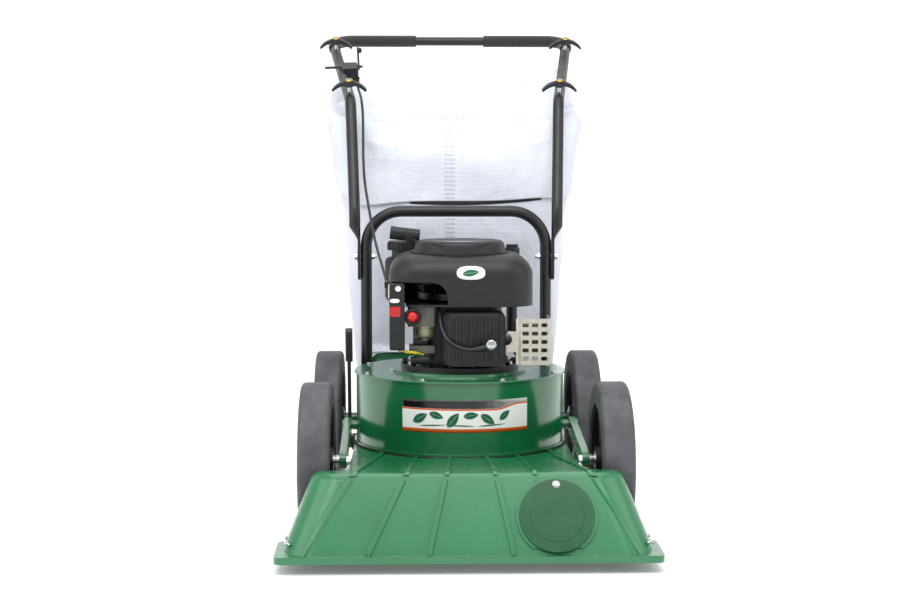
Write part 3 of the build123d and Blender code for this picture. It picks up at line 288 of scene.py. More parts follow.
def reliefOf(tree, shader, height, depthMm, edgeMm=0.0, strength=1.0):
    # bump from a height pattern, over edges rounded by the Bevel node
    inputs = {"Height": height, "Distance": depthMm * mm, "Strength": strength}
    bump = addNode(tree, "ShaderNodeBump", inputs=inputs)
    if edgeMm:
        bevel = addNode(tree, "ShaderNodeBevel", {"samples": 4}, {"Radius": edgeMm * mm})
        tree.links.new(bevel.outputs["Normal"], bump.inputs["Normal"])
    tree.links.new(bump.outputs["Normal"], shader.inputs["Normal"])


# each finish: colour, a second tint with the size of its drift, roughness and how far it wanders,
# grain size and depth of the surface relief, radius that catches light along edges, shader inputs
finishes = {
    # baked enamel on pressed steel: deep wet gloss with a faint orange peel
    "green_enamel": {"colour": "#116238", "tint": "#156d40", "drift": 160, "rough": (0.17, 0.24), "wander": 45,
                     "grain": 5.0, "depth": 0.012, "edge": 1.2,
                     "inputs": {"IOR": 1.5, "Coat Weight": 0.6, "Coat Roughness": 0.16}},
    # rotationally moulded polyethylene: waxy gloss, softly mottled
    "green_moulding": {"colour": "#12683b", "tint": "#167444", "drift": 240, "rough": (0.24, 0.3), "wander": 60,
                       "grain": 6.0, "depth": 0.01, "edge": 2.2,
                       "inputs": {"IOR": 1.5, "Coat Weight": 0.55, "Coat Roughness": 0.2}},
    # injection moulded cover: darker, smoother
    "dark_green_moulding": {"colour": "#0a4a26", "tint": "#0d522b", "drift": 60, "rough": (0.2, 0.3), "wander": 20,
                            "grain": 2.0, "depth": 0.02, "edge": 1.2, "inputs": {"IOR": 1.5}},
    # powder coat on steel tube: even satin with a fine pebble
    "black_tube": {"colour": "#141416", "tint": "#1b1b1e", "drift": 70, "rough": (0.3, 0.42), "wander": 25,
                   "grain": 1.2, "depth": 0.03, "edge": 1.0, "inputs": {"IOR": 1.5}},
    # glass-filled nylon and ABS: satin with a spark-eroded texture
    "black_moulding": {"colour": "#131417", "tint": "#1a1b1f", "drift": 50, "rough": (0.38, 0.52), "wander": 18,
                       "grain": 1.0, "depth": 0.05, "edge": 1.2, "inputs": {"IOR": 1.46}},
    # black stove paint over a sand casting: coarse skin, broken shine
    "black_casting": {"colour": "#0e0e10", "tint": "#17171a", "drift": 20, "rough": (0.3, 0.5), "wander": 9,
                      "grain": 2.2, "depth": 0.25, "edge": 1.0, "inputs": {"IOR": 1.5}},
    # bare die casting: dull grey, lightly stained
    "cast_metal": {"colour": "#5c5a55", "tint": "#74716a", "drift": 18, "rough": (0.42, 0.6), "wander": 8,
                   "grain": 1.4, "depth": 0.12, "edge": 0.8, "inputs": {"Metallic": 0.85}},
    # aluminised sheet: pale warm metal with a cloudy spangle
    "stamped_guard": {"colour": "#b8b3a6", "tint": "#cdc9bd", "drift": 14, "rough": (0.34, 0.5), "wander": 7,
                      "grain": 1.8, "depth": 0.06, "edge": 0.8, "inputs": {"Metallic": 0.8}},
    # bright zinc plate
    "zinc_fastener": {"colour": "#c9cbcc", "tint": "#b4b6b6", "drift": 9, "rough": (0.16, 0.3), "wander": 4,
                      "grain": 0.8, "depth": 0.03, "edge": 0.5, "inputs": {"Metallic": 1.0}},
    # ground and oiled steel: fine turned lines
    "ground_steel": {"colour": "#8f9092", "tint": "#7c7d80", "drift": 12, "rough": (0.24, 0.38), "wander": 5,
                     "grain": 0.7, "depth": 0.04, "edge": 0.6, "inputs": {"Metallic": 1.0}},
    # extruded vinyl sleeve
    "black_cable": {"colour": "#121214", "tint": "#1a1a1c", "drift": 30, "rough": (0.34, 0.46), "wander": 12,
                    "grain": 0.9, "depth": 0.03, "edge": 0.0, "inputs": {"IOR": 1.5}},
    # soft red vinyl
    "red_rubber": {"colour": "#c01a1c", "tint": "#cf2a26", "drift": 8, "rough": (0.28, 0.4), "wander": 4,
                   "grain": 0.8, "depth": 0.03, "edge": 0.6, "inputs": {"Subsurface Weight": 0.05}},
    # closed-cell foam sleeve: matt, pitted skin
    "foam": {"colour": "#1c1c1f", "tint": "#26262a", "drift": 14, "rough": (0.75, 0.9), "wander": 6,
             "grain": 1.6, "depth": 0.35, "edge": 1.5, "inputs": {"Sheen Weight": 0.25, "Sheen Roughness": 0.5}},
    # grey vulcanised rubber: dusty bloom, moulding swirl
    "grey_rubber": {"colour": "#47474b", "tint": "#55555a", "drift": 55, "rough": (0.55, 0.72), "wander": 22,
                    "grain": 1.5, "depth": 0.1, "edge": 3.0, "inputs": {"IOR": 1.5}},
    # yellow passivated zinc on the knob inserts
    "brass": {"colour": "#c9a64a", "tint": "#d9bb66", "drift": 6, "rough": (0.2, 0.34), "wander": 3,
              "grain": 0.7, "depth": 0.03, "edge": 0.4, "inputs": {"Metallic": 1.0}},
    # neoprene sealing strip
    "sealingRubber": {"colour": "#0b0b0c", "tint": "#131314", "drift": 18, "rough": (0.45, 0.6), "wander": 8,
                      "grain": 0.9, "depth": 0.05, "edge": 0.4, "inputs": {"IOR": 1.5}},
    # khaki float bowl: passivated zinc casting
    "bowlMetal": {"colour": "#8d8a74", "tint": "#a19e86", "drift": 12, "rough": (0.35, 0.5), "wander": 6,
                  "grain": 1.2, "depth": 0.06, "edge": 0.8, "inputs": {"Metallic": 0.6}},
    # printed vinyl sheets
    "silverVinyl": {"colour": "#b9bcc2", "tint": "#a9acb3", "drift": 10, "rough": (0.2, 0.3), "wander": 6,
                    "grain": 1.0, "depth": 0.01, "edge": 0.0, "inputs": {"Metallic": 0.7}},
    "whiteVinyl": {"colour": "#e9eaec", "tint": "#dfe0e3", "drift": 12, "rough": (0.22, 0.32), "wander": 6,
                   "grain": 1.0, "depth": 0.01, "edge": 0.0, "inputs": {"IOR": 1.5}},
    "redVinyl": {"colour": "#b5161a", "tint": "#c42024", "drift": 12, "rough": (0.25, 0.35), "wander": 6,
                 "grain": 1.0, "depth": 0.01, "edge": 0.0, "inputs": {"IOR": 1.5}},
    "yellowSleeve": {"colour": "#c9b321", "tint": "#d8c337", "drift": 8, "rough": (0.35, 0.45), "wander": 5,
                     "grain": 1.0, "depth": 0.02, "edge": 0.3, "inputs": {"IOR": 1.5}},
    "leafInk": {"colour": "#0f5b3a", "tint": "#146845", "drift": 18, "rough": (0.4, 0.55), "wander": 6,
                "grain": 1.4, "depth": 0.02, "edge": 0.0, "inputs": {"IOR": 1.45}},
}


def makeFinish(name):
    values = finishes[name]
    material, tree, shader, place = startMaterial(name, values["colour"], values["rough"][0], **values["inputs"])
    drift = spread(tree, noise(tree, place, values["drift"], 3), 0, 1)
    tree.links.new(blendColours(tree, drift, values["colour"], values["tint"]), shader.inputs["Base Color"])
    wander = spread(tree, noise(tree, place, values["wander"], 4), *values["rough"])
    tree.links.new(wander, shader.inputs["Roughness"])
    reliefOf(tree, shader, noise(tree, place, values["grain"], 3), values["depth"], values["edge"])
    return material


def makeCloth():
    # woven polyester, thinly coated: crossed threads 1.6 mm apart, drawn three times as coarse as the real weave
    material, tree, shader, place = startMaterial("bag_cloth", "#d4d5df", 0.62)
    shader.inputs["Sheen Weight"].default_value = 0.25
    shader.inputs["Subsurface Weight"].default_value = 0.06
    surface = addNode(tree, "ShaderNodeUVMap", {"uv_map": "surface"}).outputs["UV"]
    waves = []
    for direction in ("X", "Y"):
        inputs = {"Vector": surface, "Scale": 1 / (1.6 * mm) / 20, "Distortion": 0.4, "Detail": 1.0}
        wave = addNode(tree, "ShaderNodeTexWave", {"bands_direction": direction}, inputs)
        waves.append(wave.outputs["Fac"])
    threads = addNode(tree, "ShaderNodeMath", {"operation": "MULTIPLY"}, {0: waves[0], 1: waves[1]}).outputs[0]
    # painted shade: the white cloth is coloured all over in the lavender grey of its fold shadows, #ced0db to #dcdde6
    # in 120 mm patches (base #d4d5df), so the bag stands out from the white backdrop
    shade = spread(tree, noise(tree, place, 120, 3), 0, 1)
    paintedFoldShade = blendColours(tree, shade, "#ced0db", "#dcdde6")
    thread = addNode(tree, "ShaderNodeMath", {"operation": "MULTIPLY"}, {0: threads, 1: 0.12}).outputs[0]
    tree.links.new(blendColours(tree, thread, paintedFoldShade, "#b4b6c6"), shader.inputs["Base Color"])
    creases = noise(tree, place, 38, 4, (1, 1, 0.5))
    lift = {0: creases, 1: 24.0, 2: threads}
    height = addNode(tree, "ShaderNodeMath", {"operation": "MULTIPLY_ADD"}, lift).outputs[0]
    reliefOf(tree, shader, height, 0.36)
    return material


def makeTyreRubber():
    # vulcanised rubber with a fine ring pattern left by the mould
    material, tree, shader, place = startMaterial("grey_rubber", "#47474b", 0.6)
    bloom = spread(tree, noise(tree, place, 45, 5), 0, 1)
    tree.links.new(blendColours(tree, bloom, "#3e3e42", "#57575c"), shader.inputs["Base Color"])
    tree.links.new(spread(tree, noise(tree, place, 20, 4), 0.5, 0.7), shader.inputs["Roughness"])
    skin = noise(tree, place, 1.4, 3)
    reliefOf(tree, shader, skin, 0.12, 2.5)
    return material


def makeLabel():
    # glossy vinyl sheet: white field, black band that breaks into dots, orange line and foot
    material, tree, shader, place = startMaterial("labelVinyl", "#f2f2f0", 0.22)
    surface = addNode(tree, "ShaderNodeUVMap", {"uv_map": "surface"}).outputs["UV"]
    parts = addNode(tree, "ShaderNodeSeparateXYZ", inputs={"Vector": surface})
    along, up = parts.outputs["X"], parts.outputs["Y"]

    def maths(operation, first, second=0.0, third=0.0):
        inputs = {0: first, 1: second, 2: third}
        return addNode(tree, "ShaderNodeMath", {"operation": operation}, inputs).outputs[0]

    def step(value):
        return maths("MULTIPLY", value, 260.0, 0.0)

    climb = {"Value": along, "From Min": 0.72, "From Max": 0.93, "To Min": 0.0, "To Max": 0.17}
    rise = addNode(tree, "ShaderNodeMapRange", {"interpolation_type": "SMOOTHSTEP"}, climb).outputs["Result"]
    edge = maths("ADD", maths("MULTIPLY", along, -0.03), 0.745)
    edge = maths("ADD", edge, rise)
    above = addNode(tree, "ShaderNodeClamp", inputs={"Value": step(maths("SUBTRACT", up, edge))}).outputs["Result"]
    line = maths("SUBTRACT", 0.028, maths("ABSOLUTE", maths("SUBTRACT", up, maths("SUBTRACT", edge, 0.028))))
    line = addNode(tree, "ShaderNodeClamp", inputs={"Value": step(line)}).outputs["Result"]
    foot = addNode(tree, "ShaderNodeClamp", inputs={"Value": step(maths("SUBTRACT", 0.115, up))}).outputs["Result"]
    # dots 2.4 mm apart that grow until they close into the black
    grid = {"Vector": surface, "Scale": (112.0, 27.0, 1.0)}
    cell = addNode(tree, "ShaderNodeMapping", inputs=grid).outputs["Vector"]
    cell = addNode(tree, "ShaderNodeVectorMath", {"operation": "FRACTION"}, {0: cell}).outputs["Vector"]
    fromMiddle = {0: cell, 1: (0.5, 0.5, 0.0)}
    offset = addNode(tree, "ShaderNodeVectorMath", {"operation": "SUBTRACT"}, fromMiddle).outputs["Vector"]
    radius = addNode(tree, "ShaderNodeVectorMath", {"operation": "LENGTH"}, {0: offset}).outputs["Value"]
    grow = addNode(tree, "ShaderNodeMapRange", inputs={"Value": along, "From Min": 0.55, "From Max": 0.97,
                                                       "To Min": 0.75, "To Max": 0.22}).outputs["Result"]
    inside = maths("MULTIPLY", maths("SUBTRACT", grow, radius), 12.0)
    dots = addNode(tree, "ShaderNodeClamp", inputs={"Value": inside})
    field = blendColours(tree, above, "#f2f2f0", blendColours(tree, dots.outputs["Result"], "#b9bcbb", "#121312"))
    field = blendColours(tree, line, field, "#d85a1a")
    field = blendColours(tree, foot, field, "#d85a1a")
    tree.links.new(field, shader.inputs["Base Color"])
    reliefOf(tree, shader, noise(tree, place, 6.0, 2), 0.01)
    return material


materials = {name: makeFinish(name) for name in finishes}
materials["bag_cloth"] = makeCloth()
materials["grey_rubber"] = makeTyreRubber()
materials["label"] = makeLabel()
for nodeName, nodeObject in nodes.items():
    nodeObject.data.materials.clear()
    nodeObject.data.materials.append(materials[slotOf[nodeName]])
makeStudio()
print("materials ready:", len(materials))


# bag

bagShape = {
    # heights: the flap hangs from the rim to the hem, and the body's walls start at the split
    "floor": 0.172, "hem": 0.640, "split": 0.70, "rim": 0.86,
    "heights": (0.165, 0.30, 0.46, 0.60, 0.74, 0.86, 1.0),
    "halfWidths": (0.228, 0.240, 0.250, 0.262, 0.284, 0.300, 0.296),
    "fronts": (0.366, 0.360, 0.357, 0.357, 0.374, 0.404, 0.420),  # behind the fan's axis
    "rears": (0.764, 0.776, 0.784, 0.792, 0.796, 0.794, 0.786),
    "square": 7.0,  # how square the corners are
    "frontTop": 0.850, "rearTop": 0.965, "sag": 0.046, "corner": 0.030,
    "foldDepth": 0.0075, "foldReach": 0.20, "cloth": 0.0014, "round": 300, "girth": 1.9,
}


def bagWall(turn, height):
    # plan outline at a height: a squarish superellipse whose half width, front and rear follow the height
    halfWidth = np.interp(height, bagShape["heights"], bagShape["halfWidths"])
    front = np.interp(height, bagShape["heights"], bagShape["fronts"]) + fanY
    rear = np.interp(height, bagShape["heights"], bagShape["rears"]) + fanY
    power = 2 / bagShape["square"]
    x = halfWidth * np.sign(np.sin(turn)) * np.abs(np.sin(turn)) ** power
    y = (front + rear) / 2 - (rear - front) / 2 * np.sign(np.cos(turn)) * np.abs(np.cos(turn)) ** power
    return x, y


def bagTopHeight(x, y):
    # the lid of the bag slopes up to the rear, hangs between its four corners and lifts at each of them
    front, rear = bagShape["fronts"][-2] + fanY, bagShape["rears"][-2] + fanY
    back = np.clip((y - front) / (rear - front), 0, 1)
    side = np.clip(np.abs(x) / bagShape["halfWidths"][-2], 0, 1)
    height = bagShape["frontTop"] + (bagShape["rearTop"] - bagShape["frontTop"]) * back
    height -= bagShape["sag"] * (1 - side ** 2) * (1 + 0.5 * np.sin(np.pi * back))
    height -= 0.018 * np.sin(np.pi * back) * side
    return height + bagShape["corner"] * side ** 6 * (1 - np.sin(np.pi * back)) * 0.5


def tensionFolds(x, y, z):
    # creases that fan out from the four hung corners and die away with distance
    depth = np.zeros_like(x)
    fade = bagShape["foldReach"]
    for sign, back, height, count, phase in ((-1, 0, 0.87, 11, 0.4), (1, 0, 0.87, 10, 1.3),
                                             (-1, 1, 0.97, 9, 2.0), (1, 1, 0.97, 12, 0.9)):
        cornerY = (bagShape["fronts"][-2], bagShape["rears"][-2])[back] + fanY
        away = np.hypot(x - sign * 0.29, y - cornerY)
        drop = height - z
        distance = np.hypot(away, drop)
        angle = np.arctan2(drop, away + 0.004)
        ripple = np.sin(count * angle + phase + 5 * distance)
        depth += ripple * np.exp(-distance / fade) * distance / (distance + 0.05)
    return depth * bagShape["foldDepth"]


def drapes(x, y, z, low):
    # slow swags across the cloth: crossed sines that slant, deeper on the flap
    slant = np.sin(21 * x + 13 * z + 1.2 * np.sin(9 * z)) * np.sin(15 * z - 9 * x + 0.7)
    small = np.sin(47 * x - 31 * z + 2.0 * np.sin(17 * z + 3 * y)) * 0.3
    upright = np.sin(38 * (x + y) + 2.2 * np.sin(7 * z)) * 0.5
    return (0.0042 - 0.0016 * low) * slant + 0.003 * small + 0.0016 * low * upright


def roundedDrop(run, radius=0.022):
    # 0 before the rim and equal to the run after it, with a rounded change between
    return (run + np.sqrt(run ** 2 + radius ** 2)) / 2


def bagOutwards(x, y, turn):
    out = np.stack([np.sign(np.sin(turn)) * np.abs(np.sin(turn)) ** 1.6,
                    -np.sign(np.cos(turn)) * np.abs(np.cos(turn)) ** 1.6, np.zeros_like(x)], -1)
    return out / np.linalg.norm(out, axis=-1)[..., None]


def flapPoint(turn, run, proud=0.0):
    # upper cloth: from the middle of the top, over the rim (run = 0) and down the walls to the hem
    rimX, rimY = bagWall(turn, bagShape["rim"] + 0 * turn)
    centreY = (bagShape["fronts"][-2] + bagShape["rears"][-2]) / 2 + fanY
    reach = 0.26
    inward = np.clip(roundedDrop(-run) / reach, 0, 1)
    drop = roundedDrop(run)
    topX, topY = rimX * (1 - inward), centreY + (rimY - centreY) * (1 - inward)
    z = bagTopHeight(topX, topY) - drop
    wallX, wallY = bagWall(turn, z)
    onWall = np.clip(drop / 0.05, 0, 1)
    x = topX + (wallX - rimX) * onWall
    y = topY + (wallY - rimY) * onWall
    push = (tensionFolds(x, y, z) + drapes(x, y, z, 0)) * np.clip(1 - inward * 1.2, 0, 1) + 0.005 * onWall + proud
    points = np.stack([x, y, z], -1) + push[..., None] * bagOutwards(x, y, turn)
    onTop = np.clip(inward * 3, 0, 1)
    points[..., 2] += (tensionFolds(y, x, z) + drapes(y, x, z, 0)) * onTop * 0.8 + proud * (inward > 0.1)
    return points


def bodyPoint(turn, height, proud=0.0):
    # lower cloth: walls under the flap
    x, y = bagWall(turn, height)
    tuck = 0.004 * np.sin(np.pi * np.clip((height - 0.165) / 0.5, 0, 1))
    push = drapes(x, y, height, 1) + 0.5 * tensionFolds(x, y, height) + tuck - 0.003 + proud
    return np.stack([x, y, height + 0 * x], -1) + push[..., None] * bagOutwards(x, y, turn)


def evenTurns(count):
    # parameter values that walk the squarish outline at an even pace
    fine = np.linspace(0, 2 * np.pi, 4001)
    x, y = bagWall(fine, 0.6 + 0 * fine)
    pace = np.concatenate([[0], np.cumsum(np.hypot(np.diff(x), np.diff(y)))])
    return np.interp(np.linspace(0, pace[-1], count, endpoint=False), pace, fine)


def clothPiece(name, points, faces, uv, thickness):
    piece = meshPiece(name, points, faces, materials["bag_cloth"], 60, uv)
    wall = piece.modifiers.new("cloth", "SOLIDIFY")
    wall.thickness = thickness
    wall.offset = -1
    return piece


def hangWithHandle(piece):
    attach(piece, "chassis")
    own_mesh(piece)
    return piece


def hemDrop(turns):
    # how far the flap falls from the rim: its hem waves and rises at the sides
    hemHeight = bagShape["hem"] + 0.016 * np.abs(np.sin(turns)) ** 3 + 0.010 * (1 - np.cos(turns)) / 2
    hemHeight += 0.004 * np.sin(5 * turns + 0.5) + 0.006 * np.sin(3 * turns)
    return bagTopHeight(*bagWall(turns, bagShape["rim"] + 0 * turns)) - hemHeight


def makeBag():
    around = bagShape["round"]
    turns = evenTurns(around)
    # flap: rows run from the middle of the top to the hem
    fullDrop = hemDrop(turns)
    share = np.concatenate([np.linspace(-1, 0, 56, endpoint=False), np.linspace(0, 1, 74)])[:, None]
    run = np.where(share < 0, share * 0.255, share * fullDrop[None, :])
    turnGrid = np.broadcast_to(turns[None, :], run.shape)
    flap = flapPoint(turnGrid, run)
    girth = np.broadcast_to((np.arange(around) / around * bagShape["girth"])[None, :], run.shape)
    faces = gridFaces(*run.shape, closedColumns=True) + [list(range(around))[::-1]]
    uv = np.stack([girth, run], -1)
    piece = clothPiece("bag_flap", flap, faces, uv, bagShape["cloth"])
    hangWithHandle(piece)
    # body: walls from the split down, turned in under the floor
    heights = np.linspace(bagShape["split"], 0.20, 90)
    turnGrid, heightGrid = np.meshgrid(turns, heights)
    walls = bodyPoint(turnGrid, heightGrid)
    middle = np.array([0, (bagShape["fronts"][0] + bagShape["rears"][0]) / 2 + fanY, 0])
    foot = walls[-1]
    bend = np.linspace(0, 1, 22)[1:, None, None]
    inward = np.clip(1 - 0.035 * np.sin(bend * np.pi / 2) - np.clip(bend - 0.25, 0, 1) * 1.28, 0.004, 1)
    fold = foot[None] * inward + middle * (1 - inward)
    fold[..., 2] = 0.20 - 0.026 * np.sin(np.clip(bend[..., 0] * 3, 0, 1) * np.pi / 2) - 0.002
    points = np.vstack([walls, fold])
    faces = gridFaces(len(points), around, closedColumns=True)
    faces.append(list(range((len(points) - 1) * around, len(points) * around)))
    girth = np.broadcast_to((np.arange(around) / around * bagShape["girth"])[None, :], points.shape[:2])
    uv = np.stack([girth, points[..., 2]], -1)
    body = clothPiece("bag_body", points, faces, uv, bagShape["cloth"])
    hangWithHandle(body)
    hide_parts("bag")
    makeSleeve()
    makeBagTrim(turns)


def makeSleeve():
    # gathered cuff from the chute's collar to the bag's front: rounded rectangle that flares and pleats
    low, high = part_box("bag_clamp")
    centre = ((low.x + high.x) / 2, (low.z + high.z) / 2 - 0.0045)
    half = ((high.x - low.x) / 2 - 0.0035, 0.0625)
    turn = np.linspace(0, 2 * np.pi, 160, endpoint=False)[None, :]
    along = np.linspace(0, 1, 24)[:, None]
    flare = 0.016 * np.clip((along - 0.45) / 0.55, 0, 1) ** 2
    pleat = 0.0022 * np.sin(26 * turn + 1.5 * np.sin(3 * turn)) * np.clip(along * 1.6 - 0.4, 0, 1)
    power = 2 / 6
    x = centre[0] + (half[0] + flare + pleat) * np.sign(np.cos(turn)) * np.abs(np.cos(turn)) ** power
    z = centre[1] + (half[1] + flare + pleat) * np.sign(np.sin(turn)) * np.abs(np.sin(turn)) ** power
    y = fanY + 0.3245 + 0.038 * along + 0 * turn
    points = np.stack([x, y, z], -1)
    uv = np.stack([turn / 6.28 * 0.5 + 0 * along, along * 0.04 + 0 * turn], -1)
    hangWithHandle(clothPiece("bag_cuff", points, gridFaces(24, 160, closedColumns=True), uv, bagShape["cloth"]))


def makeBagTrim(turns):
    # zip tape under the front of the hem, bound hem and the four corner ties
    across = np.linspace(-0.105, 0.2, 60)
    fine = np.linspace(-1.5, 1.5, 3001)
    frontTurn = np.interp(across, bagWall(fine, bagShape["hem"] + 0 * fine)[0], fine)
    rows = np.linspace(-1, 1, 5)[:, None]
    height = 0.6375 + 0.012 * (across / 0.2) ** 2 + 0.0055 * rows
    tape = bodyPoint(np.broadcast_to(frontTurn, height.shape), height, 0.0035)
    zipTape = meshPiece("bag_zip_tape", tape, gridFaces(5, 60), materials["black_moulding"], 60)
    wall = zipTape.modifiers.new("tape", "SOLIDIFY")
    wall.thickness = 0.0016
    hangWithHandle(zipTape)
    fullDrop = hemDrop(turns)
    angle = np.linspace(0, 2 * np.pi, 8, endpoint=False)
    ring = flapPoint(turns[:, None] + 0 * angle, (fullDrop[:, None] - 0.006) + 0.0065 * np.cos(angle), 0.0)
    out = bagOutwards(ring[..., 0], ring[..., 1], turns[:, None] + 0 * angle)
    ring = ring + out * (0.0011 * np.sin(angle) - 0.0007)[None, :, None]
    uv = np.stack([np.broadcast_to(np.arange(len(turns))[:, None] / 157, ring.shape[:2]),
                   np.broadcast_to(angle * 0.002, ring.shape[:2])], -1)
    faces = gridFaces(len(turns), 8, closedRows=True, closedColumns=True)
    hem = meshPiece("bag_hem", ring, faces, materials["bag_cloth"], 60, uv)
    hangWithHandle(hem)
    ties = []
    for sign in (-1, 1):
        for knob, back, height in (("lower", 0, 0.872), ("upper", 1, 0.955)):
            low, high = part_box(f"knob_{knob}_" + ("left" if sign < 0 else "right"))
            top = np.array([(low.x + high.x) / 2, (low.y + high.y) / 2, low.z - 0.018])
            corner = np.array([sign * (0.262, 0.27)[back], (0.41, 0.752)[back] + fanY, height])
            reach = np.linspace(0, 1, 24)[:, None]
            line = top + (corner - top) * reach
            line[:, 2] -= 0.012 * np.sin(np.pi * reach[:, 0])
            widths = 0.009 + 0.012 * reach[:, 0] ** 3
            ties.append(sweep("tie", line, widths, materials["bag_cloth"], 12, 0.16, (0.2, 0.6, 1)))
    hangWithHandle(merged("bag_ties", ties))


makeBag()
print("bag made")


# leaf print shared by the bag and the drum's label

def leafPatch(surface, centre, length, width, turn, split=0.05):
    # leaf outline: half width follows sin(pi t) raised to 0.8; a thin slit along the midrib parts the two halves
    t = np.linspace(0, 1, 22)[:, None]
    s = np.linspace(split, 1, 8)[None, :]
    half = width / 2 * np.sin(np.pi * t ** 0.85) ** 0.8
    halves = []
    for side in (-1, 1):
        along = (t - 0.5) * length + 0 * s
        across = side * s * half
        a = centre[0] + along * math.cos(turn) - across * math.sin(turn)
        b = centre[1] + along * math.sin(turn) + across * math.cos(turn)
        halves.append(surface(a, b))
    return halves


def leafPrint(name, surface, leaves, material):
    pieces = []
    for centre, length, width, turn in leaves:
        for points in leafPatch(surface, centre, length, width, turn):
            pieces.append(meshPiece("leaf", points, gridFaces(*points.shape[:2]), material, 80))
    return merged(name, pieces)


def makeBagPrint():
    fine = np.linspace(-np.pi, np.pi, 6001)

    def panel(sideOf):
        # a runs along the panel and b is the height; the nearest turn is read off the outline
        def point(a, b):
            x, y = bagWall(fine, 0.5 + 0 * fine)
            if sideOf == "front":
                inFront = np.abs(fine) < np.pi / 2
                turn = np.interp(a, x[inFront], fine[inFront])
            else:
                sign = 1 if sideOf == "right" else -1
                onSide = fine * sign > 0
                order = np.argsort(y[onSide])
                turn = np.interp(a, y[onSide][order], fine[onSide][order])
            return bodyPoint(turn, b, 0.0006)
        return point

    for sideOf, leaves in (
        ("left", [((0.40, 0.52), 0.13, 0.055, 0.5), ((0.53, 0.56), 0.15, 0.06, -0.4), ((0.47, 0.43), 0.11, 0.045, 1.3),
                  ((0.60, 0.45), 0.10, 0.04, 0.2), ((0.36, 0.38), 0.08, 0.035, -0.8)]),
        ("right", [((0.40, 0.54), 0.13, 0.055, 2.6), ((0.53, 0.50), 0.15, 0.06, 0.5), ((0.44, 0.42), 0.11, 0.045, 1.9),
                   ((0.60, 0.57), 0.10, 0.04, 1.0), ((0.58, 0.38), 0.08, 0.035, -0.6)]),
        ("front", [((-0.232, 0.610), 0.046, 0.024, 1.0), ((-0.236, 0.568), 0.040, 0.02, 2.2),
                   ((0.222, 0.610), 0.042, 0.022, 1.9), ((0.212, 0.555), 0.05, 0.024, 0.9),
                   ((0.196, 0.500), 0.044, 0.02, 2.0)]),
    ):
        hangWithHandle(leafPrint("bag_print_" + sideOf, panel(sideOf), leaves, materials["leafInk"]))


makeBagPrint()
print("bag print made")


# drum: label and sealing strip

labelSheet = {"width": 0.268, "height": 0.065, "middle": 0.226, "proud": 0.0004}
drumLow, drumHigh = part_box("fan_housing")
drumRadius = (drumHigh.x - drumLow.x) / 2 - 0.004


def onDrum(a, b, proud=0.0):
    # a runs round the drum's front and b is the height
    radius = drumRadius + labelSheet["proud"] + proud
    return np.stack([radius * np.sin(a / radius), fanY - radius * np.cos(a / radius), b + 0 * a], -1)


def makeLabelPieces():
    across, up = np.meshgrid(np.linspace(0, 1, 80), np.linspace(0, 1, 14))
    a = (across - 0.5) * labelSheet["width"] + 0.006
    b = labelSheet["middle"] + (up - 0.5) * labelSheet["height"]
    uv = np.stack([across, up], -1)
    sheet = meshPiece("drum_label", onDrum(a, b), gridFaces(14, 80), materials["label"], 80, uv)
    backing = sheet.modifiers.new("sheet", "SOLIDIFY")
    backing.thickness = 0.0003
    place(sheet, "chassis", "green_enamel")
    leaves = [((-0.088, 0.222), 0.034, 0.017, 0.5), ((-0.054, 0.228), 0.030, 0.014, -0.3),
              ((-0.020, 0.219), 0.036, 0.018, 0.9), ((0.016, 0.228), 0.030, 0.014, 0.1),
              ((0.050, 0.220), 0.034, 0.016, -0.6), ((0.086, 0.227), 0.028, 0.013, 0.7)]
    strokes = [((x, z), length, 0.0026, turn) for x, z, length, turn in
               ((-0.060, 0.208, 0.060, 0.05), (0.000, 0.2075, 0.050, -0.04), (0.060, 0.208, 0.060, 0.05))]
    ink = leafPrint("drum_label_leaves", lambda a, b: onDrum(a, b, 0.0006), leaves + strokes, materials["leafInk"])
    place(ink, "chassis", "green_enamel")


def makeGasket():
    top = drumLow.z - 0.0002
    ring = [(0.2145, top), (drumRadius + 0.0066, top), (drumRadius + 0.0074, top - 0.0013),
            (drumRadius + 0.0066, top - 0.0026), (0.2145, top - 0.0026)]
    place(turned("drum_gasket", ring, (0, fanY, 0), (0, 0, 1), materials["sealingRubber"], 160, closed=True),
          "chassis", "black_cable")


makeLabelPieces()
makeGasket()
print("drum trim made")


# running gear and handle trim

def jointOf(name):
    return next(joint for joint in frame["record"]["behaviour"]["joints"] if joint["name"] == name)


def makeWheelTrim():
    # zinc bearing cup on both faces of each hub's boss
    for end in ("front", "rear"):
        for sideName, sign in (("left", -1), ("right", 1)):
            low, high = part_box(f"hub_{end}_{sideName}")
            centre = ((low.x + high.x) / 2, (low.y + high.y) / 2, (low.z + high.z) / 2)
            half = (high.x - low.x) / 2
            parts = []
            for facing in (-1, 1):
                cup = [(0.0075, 0), (0.0165, 0), (0.0172, 0.0008), (0.0165, 0.0016), (0.0075, 0.0016)]
                origin = (centre[0] + facing * (half + 0.0001), centre[1], centre[2])
                parts.append(turned("cup", cup, origin, (facing, 0, 0), materials["zinc_fastener"], 48, closed=True))
            place(merged(f"bearing_cups_{end}_{sideName}", parts), f"wheel_{end}_{sideName}", "zinc_fastener")


def makeKnobInserts():
    # yellow zinc insert moulded into each knob
    ring = [(0.0042, 0), (0.0088, 0), (0.0092, 0.0012), (0.0080, 0.0024), (0.0060, 0.0026), (0.0042, 0.0024)]
    for height in ("lower", "upper"):
        for sideName in ("left", "right"):
            joint = jointOf(f"knob_{height}_{sideName}_turn")
            axis = np.array(joint["axis"])
            origin = np.array(joint["pos_m"]) + axis * 0.0398
            name = f"knob_insert_{height}_{sideName}"
            insert = turned(name, ring, origin, axis, materials["brass"], 40, closed=True)
            place(insert, f"knob_{height}_{sideName}", "zinc_fastener")


makeWheelTrim()
makeKnobInserts()
print("wheel and knob trim made")


# cables

